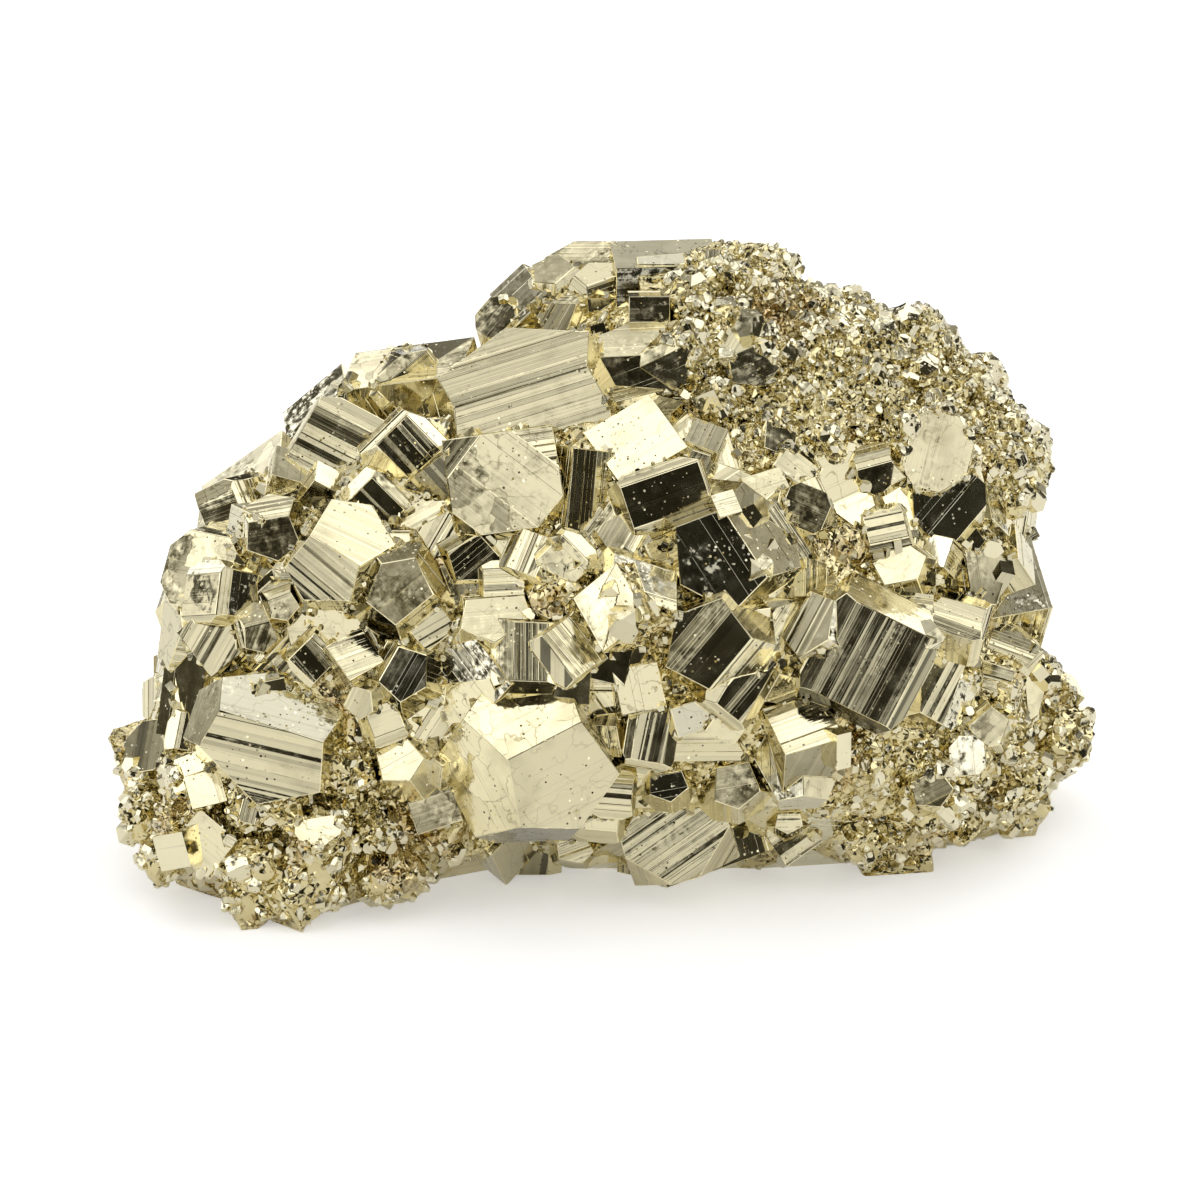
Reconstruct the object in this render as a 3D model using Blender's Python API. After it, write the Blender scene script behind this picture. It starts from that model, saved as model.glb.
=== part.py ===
"""A hand-sized pyrite specimen: one grown mass of crystals that run into each other.

A massive body is blended from ellipsoids, large crystals are set out on its best side one by one, smaller
ones are scattered over the rest, and everything is fused into one solid and cut off flat underneath.
All shapes are worked out in millimetres, with +Z up and the best side facing -Y, and the finished solid
is turned to metres at the end.
"""

import math
import random
from typing import NamedTuple

import bmesh
import bpy
import numpy as np
from mathutils import Matrix, Vector, noise
from mathutils.bvhtree import BVHTree

NODE = "pyrite_cluster"
MM = 0.001

# --- The sighting frame ------------------------------------------------------------------------
# The large crystals are set out as they are seen from an eye point in front of the specimen. Their
# places are millimetres across and up on a target plane through the specimen's middle, square to
# the line of sight, and each one is then dropped along its line of sight onto the body.
SIGHT_SLOPE = math.radians(18.0)
EYE_DISTANCE = 333.0
TARGET = Vector((0.0, 0.0, 26.0))
RIGHT = Vector((1.0, 0.0, 0.0))
UP = Vector((0.0, math.sin(SIGHT_SLOPE), math.cos(SIGHT_SLOPE)))
TOWARDS_EYE = Vector((0.0, -math.cos(SIGHT_SLOPE), math.sin(SIGHT_SLOPE)))
EYE = TARGET + TOWARDS_EYE * EYE_DISTANCE

# --- The body ----------------------------------------------------------------------------------
# The massive pyrite under the crystals is a blend of ellipsoids: (centre, radii).
LOBES = (
    ((3, 3, 25), (36, 23, 23)),  # main mass
    ((12, 11, 36.5), (22, 16, 21.5)),  # hump at the top
    ((-22.5, 0, 21), (22, 20, 21)),  # left shoulder
    ((29, 9, 32.5), (16, 16, 19)),  # right shoulder
    ((-29.5, -7, 7), (17.5, 15.5, 14)),  # left foot
    ((34, 9, 9), (15, 15, 11)),  # right foot
    ((25, -2.5, 12), (15, 12, 12)),  # front of the right foot
    ((3, -6, 21), (26, 16, 15)),  # belly that overhangs the base
    ((4, 7.5, 8), (35, 17.5, 15)),  # base and back
)
CORE = (2, 3, 24)  # the body's surface is found along rays from here
BLEND = 1.6  # how softly one lobe runs into the next
LUMP_HEIGHT = 0.9
LUMP_LENGTH = 7.0
BODY_SUBDIVISIONS = 3  # of the body that shows between the crystals
SIGHTING_SUBDIVISIONS = 5  # of the finer body that the crystals are placed on
FAR = 90.0  # well outside the body
COPLANAR = math.radians(0.5)

# --- Crystal forms -----------------------------------------------------------------------------
ROOT5 = math.sqrt(5.0)
SIGNS = (1, -1)
CUBE_FACES = [Vector(v) for v in ((0, 0, 1), (0, 0, -1), (1, 0, 0), (-1, 0, 0), (0, 1, 0), (0, -1, 0))]
PYRITOHEDRON_FACES = [
    Vector(v) / ROOT5
    for i in SIGNS
    for j in SIGNS
    for v in ((0, -i, 2 * j), (2 * i, 0, j), (i, 2 * j, 0))
]
OCTAHEDRON_FACES = [Vector((i, j, k)).normalized() for i in SIGNS for j in SIGNS for k in SIGNS]


def form(main, *groups):
    """A crystal form: the face that it shows, and (normal, distance) for each of its faces."""
    return main.normalized(), [(normal, distance) for faces, distance in groups for normal in faces]


ROOF = Vector((0, -1, 2))  # one slope of the ridge that runs along X
FLAT = Vector((0, 0, 1))
CUBE = form(FLAT, (CUBE_FACES, 1.0))
CORNERED = form(FLAT, (CUBE_FACES, 1.0), (OCTAHEDRON_FACES, 1.32))
LEDGED = form(FLAT, (CUBE_FACES, 1.0), (PYRITOHEDRON_FACES, 1.14))
PYRITOHEDRON = form(ROOF, (PYRITOHEDRON_FACES, 1.0))
BLUNTED = form(ROOF, (PYRITOHEDRON_FACES, 1.0), (CUBE_FACES, 1.06), (OCTAHEDRON_FACES, 1.16))


class Crystal(NamedTuple):
    """A crystal set out in the sighting frame. Its main face is centred on (across, up)."""

    across: float
    up: float
    size: float  # from the crystal's centre to its main face
    yaw: float  # degrees that the main face is turned to the right of the eye
    pitch: float  # degrees that it is turned upwards
    spin: float  # degrees from level of the ridge that runs along the crystal's X
    form: tuple
    lift: float = 0.5  # how far the main face stands off the body, as a share of size
    long: float = 1.0  # stretch along the ridge


PLACED_CRYSTALS = (
    # Left flank, from the shoulder down.
    Crystal(-36.0, 12.0, 3.8, -52, 38, 40, CUBE, 0.1, 1.4),
    Crystal(-38.0, 8.8, 3.0, -30, -10, 20, LEDGED, 0.3),
    Crystal(-40.0, 2.8, 4.6, -30, 12, 35, CORNERED),
    Crystal(-35.3, 0.4, 3.2, 42, 2, 80, LEDGED, 0.3),
    Crystal(-43.2, -3.2, 5.0, -62, 4, 80, PYRITOHEDRON, 0.2),
    Crystal(-41.6, -9.0, 3.0, -40, 5, 85, CUBE, 0.4, 1.5),
    Crystal(-45.0, -10.0, 3.2, -60, 0, 90, PYRITOHEDRON, 0.2),
    Crystal(-44.8, -14.4, 3.0, -25, 30, 10, CORNERED, 0.3),
    Crystal(-41.1, -13.2, 2.2, 0, 10, 80, LEDGED),
    Crystal(-38.4, -3.8, 2.8, -10, 10, 40, CUBE),
    Crystal(-33.8, -3.6, 2.2, 10, -15, 15, PYRITOHEDRON),
    Crystal(-31.7, -0.6, 2.0, 5, 0, 20, PYRITOHEDRON),
    Crystal(-32.7, 6.7, 3.4, 0, 0, 10, PYRITOHEDRON, 0.4),
    Crystal(-35.8, 5.5, 2.2, -40, -5, 70, CUBE, 0.4, 1.5),
    Crystal(-33.5, -15.3, 5.4, -3, -12, -18, PYRITOHEDRON, 0.8, 1.3),
    # Left shoulder.
    Crystal(-28.3, 19.3, 3.0, -48, 28, 40, CUBE, 0.2, 1.4),
    Crystal(-25.8, 15.2, 4.8, -8, 12, -28, LEDGED, 0.6, 1.1),
    Crystal(-19.6, 23.6, 4.4, -25, 58, 12, CUBE, 0.2, 1.4),
    Crystal(-18.2, 20.3, 4.2, 14, -8, 40, LEDGED, 0.7),
    Crystal(-18.9, 14.2, 3.8, 8, -8, -45, LEDGED, 0.7),
    Crystal(-22.6, 9.4, 3.0, 0, -5, -45, LEDGED),
    Crystal(-15.6, 11.0, 2.6, -30, -30, 30, CUBE, 0.4, 1.3),
    Crystal(-27.8, 3.2, 5.0, -20, -5, -30, PYRITOHEDRON, 0.7),
    Crystal(-20.0, 0.5, 4.3, 3, 0, 219, PYRITOHEDRON, 0.9),
    Crystal(-20.7, 5.3, 2.8, 5, 20, 0, PYRITOHEDRON, 0.6),
    Crystal(-15.9, 6.6, 1.7, 0, 5, 30, CUBE),
    Crystal(-16.3, -3.2, 2.6, 10, -15, 40, LEDGED),
    Crystal(-19.8, -7.3, 3.5, -5, 0, 60, PYRITOHEDRON, 0.6),
    Crystal(-24.5, -5.4, 2.0, 15, 25, 30, CUBE, 0.6),
    Crystal(-28.7, -6.1, 2.2, 0, -10, -45, LEDGED),
    Crystal(-24.2, -10.2, 2.4, -15, -20, 60, PYRITOHEDRON, 0.5),
    Crystal(-21.5, -12.0, 2.2, 10, 10, 20, LEDGED, 0.5),
    # Middle, from the top down.
    Crystal(-10.4, 28.4, 2.2, -20, 20, 10, CORNERED, 0.2),
    Crystal(-8.2, 30.4, 2.4, -30, 10, 40, CUBE, 0.2),
    Crystal(-2.6, 32.6, 5.2, -35, 42, 40, CORNERED, 0.2),
    Crystal(-5.6, 29.6, 3.5, -35, -20, 70, PYRITOHEDRON, 0.4),
    Crystal(0.6, 30.2, 3.0, 15, -5, 20, PYRITOHEDRON, 0.3),
    Crystal(6.8, 34.6, 4.0, 0, 65, 5, CUBE, 0.2, 1.3),
    Crystal(6.4, 32.4, 2.4, 0, 20, 5, CUBE, 0.4),
    Crystal(9.0, 29.4, 2.6, 0, -10, 30, PYRITOHEDRON, 0.3),
    Crystal(4.0, 25.9, 4.0, 0, 50, 185, PYRITOHEDRON, 0.5, 1.4),
    Crystal(7.0, 22.4, 3.2, -12, -25, 25, LEDGED, 0.4, 1.2),
    Crystal(-7.0, 18.6, 5.5, 0, -8, 17, PYRITOHEDRON, 0.75, 1.7),
    Crystal(-9.2, 11.6, 4.7, 3, -3, 8, CORNERED, 0.8, 1.1),
    Crystal(3.5, 16.0, 3.5, -8, 28, 35, CUBE, 0.9),
    Crystal(6.4, 9.8, 3.8, 6, -4, 19, LEDGED, 0.6, 1.2),
    Crystal(9.6, 13.3, 2.2, 5, 0, 60, PYRITOHEDRON, 0.7),
    Crystal(-1.0, 10.5, 2.2, 25, -5, 85, CUBE, 0.4, 1.8),
    Crystal(15.2, 23.4, 3.2, 5, -18, 25, PYRITOHEDRON, 0.6),
    Crystal(12.0, 4.2, 5.4, -4, -4, -57, PYRITOHEDRON, 0.7, 1.2),
    Crystal(18.9, 6.2, 3.0, 35, 10, -55, LEDGED, 0.4, 1.4),
    Crystal(-12.4, 4.1, 3.2, 5, 0, 30, PYRITOHEDRON, 0.3),
    Crystal(-6.7, 4.7, 2.8, -12, 20, 70, LEDGED, 0.6),
    Crystal(-3.2, 3.7, 2.6, 5, -10, -45, LEDGED, 0.6),
    Crystal(-9.7, 1.8, 2.3, 0, 10, 3, LEDGED, 0.6),
    Crystal(-4.8, 0.4, 2.0, 0, 8, 20, CORNERED, 0.6),
    Crystal(-10.6, -1.3, 3.0, 0, 22, 5, PYRITOHEDRON, 0.7, 1.4),
    Crystal(1.1, -0.8, 3.0, -34, 0, 34, CUBE, 1.5),
    Crystal(4.6, 2.6, 3.2, 30, 38, -20, LEDGED, 1.0, 1.2),
    Crystal(-7.4, -5.2, 3.4, 3, 10, 88, LEDGED, 0.7),
    Crystal(-3.0, -5.0, 3.0, 10, 5, -55, LEDGED, 0.6),
    Crystal(3.9, -8.7, 2.2, 10, 10, 10, CUBE, 0.6),
    Crystal(5.2, -13.4, 2.5, 10, 5, 80, LEDGED, 0.8, 1.3),
    Crystal(-4.5, -17.9, 7.2, 20, -12, 27, PYRITOHEDRON, 0.95),
    Crystal(-16.6, -20.4, 2.3, 3, 0, 18, CUBE, 0.9),
    Crystal(-20.0, -16.0, 3.0, -8, 12, 30, PYRITOHEDRON, 0.7),
    Crystal(-12.8, -24.0, 2.2, 0, -15, 0, PYRITOHEDRON, 1.0),
    Crystal(-6.6, -26.6, 2.8, 0, -20, 90, LEDGED, 0.8),
    Crystal(-2.6, -24.8, 2.4, 0, -10, 20, PYRITOHEDRON, 0.8),
    Crystal(1.3, -19.4, 2.4, 10, 0, -5, LEDGED, 1.2),
    Crystal(0.0, -22.0, 2.4, 0, -12, -5, LEDGED, 1.2),
    Crystal(6.8, -18.5, 2.4, 0, 0, 10, PYRITOHEDRON, 0.4),
    Crystal(7.7, -23.4, 4.4, 0, -8, 15, CORNERED, 1.2, 1.15),
    # Right of the middle.
    Crystal(20.6, 9.2, 2.5, 0, 0, 22, CORNERED, 0.7),
    Crystal(16.9, 11.2, 2.0, 5, 30, 20, CUBE),
    Crystal(19.7, 13.4, 2.4, 20, 20, -40, LEDGED, 0.4),
    Crystal(10.8, -4.5, 4.6, -10, -3, 230, PYRITOHEDRON, 0.7, 1.1),
    Crystal(14.8, -8.2, 3.0, 30, 0, 55, LEDGED, 0.6, 1.3),
    Crystal(27.2, -6.2, 5.6, 4, -8, 64, LEDGED, 1.0, 1.1),
    Crystal(28.6, -0.6, 2.6, 5, 50, -12, CUBE, 0.9, 1.6),
    Crystal(20.6, -2.4, 3.2, -35, 15, 60, PYRITOHEDRON, 0.6, 1.2),
    Crystal(13.5, -18.5, 3.3, 2, 0, 10, PYRITOHEDRON, 0.8),
    Crystal(18.6, -16.2, 3.4, -20, -5, -90, PYRITOHEDRON, 1.0, 1.3),
    Crystal(20.2, -12.2, 3.0, 0, 40, 20, CUBE, 1.0),
    Crystal(22.7, -19.3, 1.9, 10, 5, 30, CORNERED, 0.9),
    Crystal(18.8, -22.2, 1.8, 0, -10, 0, PYRITOHEDRON, 1.0),
    Crystal(26.2, -15.6, 2.4, 10, 15, 30, LEDGED, 0.8),
    Crystal(26.4, -24.0, 2.2, 0, -5, 40, CORNERED, 0.9),
    Crystal(29.6, -25.6, 2.4, 5, 10, 10, LEDGED, 0.6, 1.5),
    # Right shoulder and flank.
    Crystal(33.6, 14.8, 3.7, 3, 4, 30, CORNERED, 0.7),
    Crystal(27.7, 12.5, 2.7, -2, 0, 15, BLUNTED, 0.7),
    Crystal(35.0, 9.7, 3.6, 5, -4, 5, CORNERED, 0.5),
    Crystal(30.9, 18.0, 2.2, 0, 20, 55, LEDGED, 0.6),
    Crystal(38.8, 14.1, 1.9, 10, 10, 0, PYRITOHEDRON),
    Crystal(42.6, 10.9, 2.3, 38, 5, 20, CORNERED, 0.2),
    Crystal(29.8, 3.8, 3.2, 0, 15, 40, PYRITOHEDRON, 0.6),
    Crystal(38.0, 2.8, 3.0, 20, 0, 100, PYRITOHEDRON, 0.6, 1.4),
    Crystal(36.8, 6.2, 2.0, 0, 0, 20, PYRITOHEDRON),
    Crystal(28.6, 7.2, 2.5, 0, 20, 12, LEDGED, 0.6),
    Crystal(42.2, -8.8, 3.0, 35, 0, 70, CORNERED, 0.3, 1.3),
    Crystal(39.2, -7.7, 2.7, -5, 10, -18, LEDGED, 0.6),
    Crystal(40.2, -3.8, 3.0, 15, 30, -50, LEDGED, 0.3, 1.4),
    Crystal(34.5, -0.6, 2.8, 5, 40, -20, LEDGED, 0.8, 1.6),
    Crystal(38.8, -12.7, 2.6, 0, 10, 40, PYRITOHEDRON, 0.6),
    Crystal(32.9, -18.7, 2.8, 5, 5, 25, PYRITOHEDRON, 0.9),
    Crystal(36.6, -15.7, 2.1, 0, 0, 50, CORNERED, 0.8),
    Crystal(40.0, -19.5, 2.4, 10, 5, 20, LEDGED, 0.3),
    # Left foot.
    Crystal(-39.5, -24.2, 2.3, -8, 5, -38, CUBE, 0.8),
    Crystal(-41.2, -17.2, 1.8, -10, 30, 25, CUBE, 0.7),
    Crystal(-39.4, -18.9, 1.7, 5, 25, 15, CUBE, 0.7),
    Crystal(-28.2, -22.5, 3.2, 0, 20, 10, BLUNTED, 0.6),
    Crystal(-20.8, -27.2, 3.2, 5, 0, 20, BLUNTED, 0.5),
    Crystal(-29.0, -28.5, 3.2, 0, -10, 40, BLUNTED, 0.4),
    Crystal(-34.8, -20.5, 2.3, 0, 0, 75, LEDGED, 0.7),
    Crystal(-31.7, -20.0, 2.2, 0, 5, 80, LEDGED, 0.7),
    Crystal(-34.5, -26.0, 2.8, 0, 5, 0, BLUNTED, 0.4),
)

# Crystals scattered over the rest of the surface, the large ones first.
SCATTER_SEED = 8
SCATTER_SPACING = 0.86  # of two crystals' sizes added together
SCATTER_LIFT = (0.5, 1.6)
SCATTER_TILT = 24.0  # degrees


class Scatter(NamedTuple):
    """One round of scattering."""

    tries: int
    smallest: float
    largest: float
    forms: tuple
    seen_side: bool  # only on the side with the placed crystals, grainy patches included


SCATTERS = (
    Scatter(600, 4.5, 7.0, (CUBE, LEDGED, PYRITOHEDRON), False),
    Scatter(400, 2.8, 4.2, (CUBE, PYRITOHEDRON), False),
    Scatter(900, 1.4, 2.4, (CUBE,), True),
)
GRAINY = (  # patches of fine grains, with no large crystals: (across, up, radius)
    (21.0, 27.0, 13.0),
    (34.0, 24.0, 11.0),
    (42.0, 16.0, 6.0),
    (-38.0, -22.0, 9.0),
    (-26.0, -24.0, 11.0),
    (45.0, -16.0, 7.0),
    (28.0, -20.0, 9.0),
)
MALFORMATION = 0.08  # how much the distance of one face may differ from its form's


def body_field(points):
    """Negative inside the blended lobes and positive outside, roughly in millimetres."""
    total = 0.0
    for centre, radii in LOBES:
        scaled = (points - np.array(centre, float)) / np.array(radii, float)
        distance = (np.linalg.norm(scaled, axis=1) - 1.0) * min(radii)
        total = total + np.exp(-distance / BLEND)
    return -BLEND * np.log(total)


def body_radii(directions, steps=180, halvings=14):
    """How far the body reaches from its core in each direction."""
    core = np.array(CORE, float)
    outside = np.full(len(directions), FAR)
    inside = np.zeros(len(directions))
    for radius in np.linspace(FAR, 0.0, steps):
        open_ones = inside == 0.0
        found = open_ones & (body_field(core + directions * radius) < 0.0)
        inside[found] = radius
        outside[open_ones & ~found] = radius
    for _ in range(halvings):
        middle = (inside + outside) / 2
        within = body_field(core + directions * middle[:, None]) < 0.0
        inside = np.where(within, middle, inside)
        outside = np.where(within, outside, middle)
    return inside


def body_mesh(subdivisions):
    """The body as a bmesh: a sphere of triangles, drawn out to the lobes and roughened with lumps."""
    body = bmesh.new()
    bmesh.ops.create_icosphere(body, subdivisions=subdivisions, radius=1.0)
    directions = np.array([vertex.co.normalized() for vertex in body.verts])
    for vertex, direction, radius in zip(body.verts, directions, body_radii(directions)):
        place = Vector(CORE) + Vector(direction) * radius
        lump = noise.noise(place / LUMP_LENGTH) * LUMP_HEIGHT
        vertex.co = place + Vector(direction) * lump
    return body


def face_turn(yaw, pitch, spin, main):
    """The rotation that shows the main face to the eye, turned by yaw and pitch, with its ridge at spin."""
    yaw, pitch, spin = (math.radians(angle) for angle in (yaw, pitch, spin))
    sighting = Matrix((RIGHT, UP, TOWARDS_EYE)).transposed()
    aim = Matrix.Rotation(yaw, 3, "Y") @ Matrix.Rotation(-pitch, 3, "X") @ Matrix.Rotation(spin, 3, "Z")
    along = Vector((1, 0, 0))
    main_frame = Matrix((along, main.cross(along), main)).transposed()
    return sighting @ aim @ main_frame.transposed()


def corners(planes):
    """The points where three of the planes meet and that lie inside all the others."""
    normals = np.array([normal for normal, _ in planes])
    distances = np.array([distance for _, distance in planes])
    found = []
    for i in range(len(planes)):
        for j in range(i + 1, len(planes)):
            for k in range(j + 1, len(planes)):
                three = normals[[i, j, k]]
                if abs(np.linalg.det(three)) < 1e-3:
                    continue
                point = np.linalg.solve(three, distances[[i, j, k]])
                if (normals @ point <= distances + 1e-6).all():
                    found.append(point)
    return found


def crystal_mesh(name, centre, turn, size, crystal_form, long, rng):
    """One crystal as a mesh of flat faces, with each face a little off its ideal distance."""
    main, faces = crystal_form
    planes = []
    for normal, distance in faces:
        off = 1.0 + rng.uniform(-MALFORMATION, MALFORMATION)
        if normal.dot(main) > 0.999:
            off = 1.0
        planes.append((normal, size * distance * off * (1.0 + (long - 1.0) * abs(normal.x))))
    shape = bmesh.new()
    for point in corners(planes):
        shape.verts.new(turn @ Vector(point) + centre)
    bmesh.ops.remove_doubles(shape, verts=shape.verts, dist=size * 0.01)
    hull = bmesh.ops.convex_hull(shape, input=shape.verts)
    bmesh.ops.delete(shape, geom=hull["geom_interior"], context="VERTS")
    bmesh.ops.recalc_face_normals(shape, faces=shape.faces)
    mesh = bpy.data.meshes.new(name)
    shape.to_mesh(mesh)
    shape.free()
    return mesh


def sight(across, up):
    """The direction from the eye to a point on the target plane."""
    return (TARGET + RIGHT * across + UP * up - EYE).normalized()


def place_on_body(body_tree, crystal):
    """Where the crystal's main face sits: on its line of sight, lifted off the body towards the eye."""
    ray = sight(crystal.across, crystal.up)
    hit = body_tree.ray_cast(EYE, ray)[0]
    if hit is None:  # the line passes beside the body, so the nearest point along it is taken
        steps = [EYE + ray * (EYE_DISTANCE + step) for step in range(-40, 41, 2)]
        hit = min(steps, key=lambda point: (body_tree.find_nearest(point)[0] - point).length)
    return hit - ray * crystal.size * crystal.lift


def from_any_side(body_tree, rng):
    """A random point of the body, and the direction out of the body there."""
    direction = Vector((rng.gauss(0, 1), rng.gauss(0, 1), rng.gauss(0, 1))).normalized()
    return body_tree.ray_cast(Vector(CORE) + direction * FAR, -direction)[0], direction


def from_seen_side(body_tree, rng):
    """A random point of the body as seen from the eye. The point is None on a miss."""
    point = body_tree.ray_cast(EYE, sight(rng.uniform(-50, 50), rng.uniform(-33, 37)))[0]
    return point, None if point is None else (point - Vector(CORE)).normalized()


def is_grainy(body_tree, point):
    """True if the point lies in one of the patches of fine grains on the seen side."""
    ray = (point - EYE).normalized()
    hit = body_tree.ray_cast(EYE, ray)[0]
    if hit is not None and (hit - point).length > 1.0:
        return False
    on_target = EYE + ray * (EYE_DISTANCE / -ray.dot(TOWARDS_EYE)) - TARGET
    across, up = on_target.dot(RIGHT), on_target.dot(UP)
    return any(math.hypot(across - x, up - y) < radius for x, y, radius in GRAINY)


def scatter(body_tree, taken, rng, plan):
    """Crystals for the bare parts of the body, as (centre, turn, size, form, long)."""
    made = []
    sample = from_seen_side if plan.seen_side else from_any_side
    for _ in range(plan.tries):
        point, direction = sample(body_tree, rng)
        size = rng.uniform(plan.smallest, plan.largest)
        if point is None or point.z < 0.5 * size:
            continue
        if any((point - other).length < SCATTER_SPACING * (size + reach) for other, reach in taken):
            continue
        if not plan.seen_side and is_grainy(body_tree, point):
            continue
        turn = Matrix.Rotation(rng.uniform(0, math.tau), 3, direction)
        turn = turn @ Vector((0, 0, 1)).rotation_difference(direction).to_matrix()
        tilt = Matrix.Rotation(math.radians(rng.uniform(-SCATTER_TILT, SCATTER_TILT)), 3, "X")
        centre = point - direction * (size - rng.uniform(*SCATTER_LIFT))
        made.append((centre, turn @ tilt, size, rng.choice(plan.forms), rng.uniform(1.0, 1.25)))
        taken.append((point, size))
    return made


def crystal_objects(collection):
    """Every crystal as a helper object of its own, ready to be joined to the body."""
    sighting_body = body_mesh(SIGHTING_SUBDIVISIONS)
    body_tree = BVHTree.FromBMesh(sighting_body)
    sighting_body.free()
    rng = random.Random(SCATTER_SEED)
    settings = []
    taken = []
    for crystal in PLACED_CRYSTALS:
        main = crystal.form[0]
        turn = face_turn(crystal.yaw, crystal.pitch, crystal.spin, main)
        face = place_on_body(body_tree, crystal)
        settings.append((face - turn @ main * crystal.size, turn, crystal.size, crystal.form, crystal.long))
        taken.append((face, crystal.size))
    for plan in SCATTERS:
        settings += scatter(body_tree, taken, rng, plan)
    for index, (centre, turn, size, crystal_form, long) in enumerate(settings):
        name = f"crystal_{index:03d}"
        mesh = crystal_mesh(name, centre, turn, size, crystal_form, long, rng)
        crystal = bpy.data.objects.new(name, mesh)
        crystal.hide_render = True
        crystal.display_type = "WIRE"
        collection.objects.link(crystal)
    return len(settings)


def join_crystals(body, collection):
    """A mesh of the body with every crystal fused into it."""
    join = body.modifiers.new("join crystals", "BOOLEAN")
    join.operation = "UNION"
    join.operand_type = "COLLECTION"
    join.collection = collection
    joined = bpy.data.meshes.new_from_object(body.evaluated_get(bpy.context.evaluated_depsgraph_get()))
    body.modifiers.remove(join)
    return joined


def largest_shell(solid):
    """Removes the closed pores that crystals leave between them, and keeps the outer skin."""
    left = set(solid.verts)
    shells = []
    while left:
        shell = {left.pop()}
        edge_of_shell = list(shell)
        while edge_of_shell:
            vertex = edge_of_shell.pop()
            for edge in vertex.link_edges:
                other = edge.other_vert(vertex)
                if other in left:
                    left.remove(other)
                    shell.add(other)
                    edge_of_shell.append(other)
        shells.append(shell)
    shells.sort(key=len)
    inner = [vertex for shell in shells[:-1] for vertex in shell]
    bmesh.ops.delete(solid, geom=inner, context="VERTS")


def cut_base(solid):
    """Cuts the solid off flat at z = 0, where it was broken from the rock."""
    every = solid.verts[:] + solid.edges[:] + solid.faces[:]
    cut = bmesh.ops.bisect_plane(
        solid, geom=every, dist=1e-4, plane_co=(0, 0, 0), plane_no=(0, 0, 1), clear_inner=True
    )
    edges = [item for item in cut["geom_cut"] if isinstance(item, bmesh.types.BMEdge)]
    bmesh.ops.triangle_fill(solid, edges=edges, use_beauty=True, normal=(0, 0, -1))


def pyrite():
    """The metal of the crystals: pale brass yellow and polished."""
    material = bpy.data.materials.new("pyrite")
    material.use_nodes = True
    shader = material.node_tree.nodes["Principled BSDF"]
    shader.inputs["Base Color"].default_value = (0.78, 0.70, 0.46, 1.0)
    shader.inputs["Metallic"].default_value = 1.0
    shader.inputs["Roughness"].default_value = 0.18
    return material


def stand_on_origin(solid):
    """Moves the solid so that the middle of its footprint is at the origin, and turns it to metres."""
    places = np.array([vertex.co for vertex in solid.verts])
    middle = (places.min(axis=0) + places.max(axis=0)) / 2
    solid.transform(Matrix.Scale(MM, 4) @ Matrix.Translation((-middle[0], -middle[1], 0.0)))
    print("footprint's middle was at", middle[:2].round(2))


def main():
    for leftover in list(bpy.data.objects):
        bpy.data.objects.remove(leftover)
    helpers = bpy.data.collections.new("crystals")
    bpy.context.scene.collection.children.link(helpers)
    crystal_count = crystal_objects(helpers)

    shape = body_mesh(BODY_SUBDIVISIONS)
    mesh = bpy.data.meshes.new(NODE)
    shape.to_mesh(mesh)
    shape.free()
    mesh.materials.append(pyrite())
    cluster = bpy.data.objects.new(NODE, mesh)
    bpy.context.scene.collection.objects.link(cluster)

    solid = bmesh.new()
    solid.from_mesh(join_crystals(cluster, helpers))
    largest_shell(solid)
    cut_base(solid)
    largest_shell(solid)
    bmesh.ops.dissolve_limit(solid, angle_limit=COPLANAR, verts=solid.verts, edges=solid.edges)
    bmesh.ops.triangulate(solid, faces=solid.faces)
    stand_on_origin(solid)
    print(crystal_count, "crystals,", len(solid.faces), "triangles")
    solid.to_mesh(mesh)
    solid.free()


main()
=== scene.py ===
# %% [markdown]
# # A pyrite specimen, dressed crystal by crystal
#
# Pyrite grows as cubes and as pyritohedra, twelve-sided crystals with five-cornered faces. In this
# specimen a few hundred of them have grown into one another. The solid that comes packed with the part
# already has every large crystal in its place, with flat faces and sharp edges. This lesson turns it
# into metal: it finds the crystals again in the solid, rounds their edges, cuts the fine grooves that
# pyrite faces carry, and grows the small crystals and grains that fill the gaps.

# %% Load the frame
import math
import random
from collections import defaultdict
from typing import NamedTuple

import bmesh
import bpy
import numpy as np
from mathutils import Matrix, Vector, noise
from mathutils.bvhtree import BVHTree
from mathutils.kdtree import KDTree


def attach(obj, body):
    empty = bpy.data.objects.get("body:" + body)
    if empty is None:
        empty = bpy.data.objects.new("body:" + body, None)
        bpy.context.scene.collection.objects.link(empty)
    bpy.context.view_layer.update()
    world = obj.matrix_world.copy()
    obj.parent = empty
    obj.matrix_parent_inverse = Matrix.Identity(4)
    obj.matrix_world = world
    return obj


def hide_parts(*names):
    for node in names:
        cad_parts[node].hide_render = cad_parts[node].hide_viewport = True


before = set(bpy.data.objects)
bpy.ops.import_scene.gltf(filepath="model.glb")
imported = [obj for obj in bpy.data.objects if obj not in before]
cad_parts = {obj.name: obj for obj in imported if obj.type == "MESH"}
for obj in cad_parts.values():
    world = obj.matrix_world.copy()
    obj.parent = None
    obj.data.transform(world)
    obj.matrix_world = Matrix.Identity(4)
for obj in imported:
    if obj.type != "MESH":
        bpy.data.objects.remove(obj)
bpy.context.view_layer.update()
NODE = "pyrite_cluster"
MM = 0.001

# %% [markdown]
# ## The camera
#
# The specimen is looked at from a little above, through a long lens, so that its far side isn't much
# smaller than its near side. The three directions below make a picture plane through its middle. They
# are used again further on, to say which face gets which finish in millimetres across and up.

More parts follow.
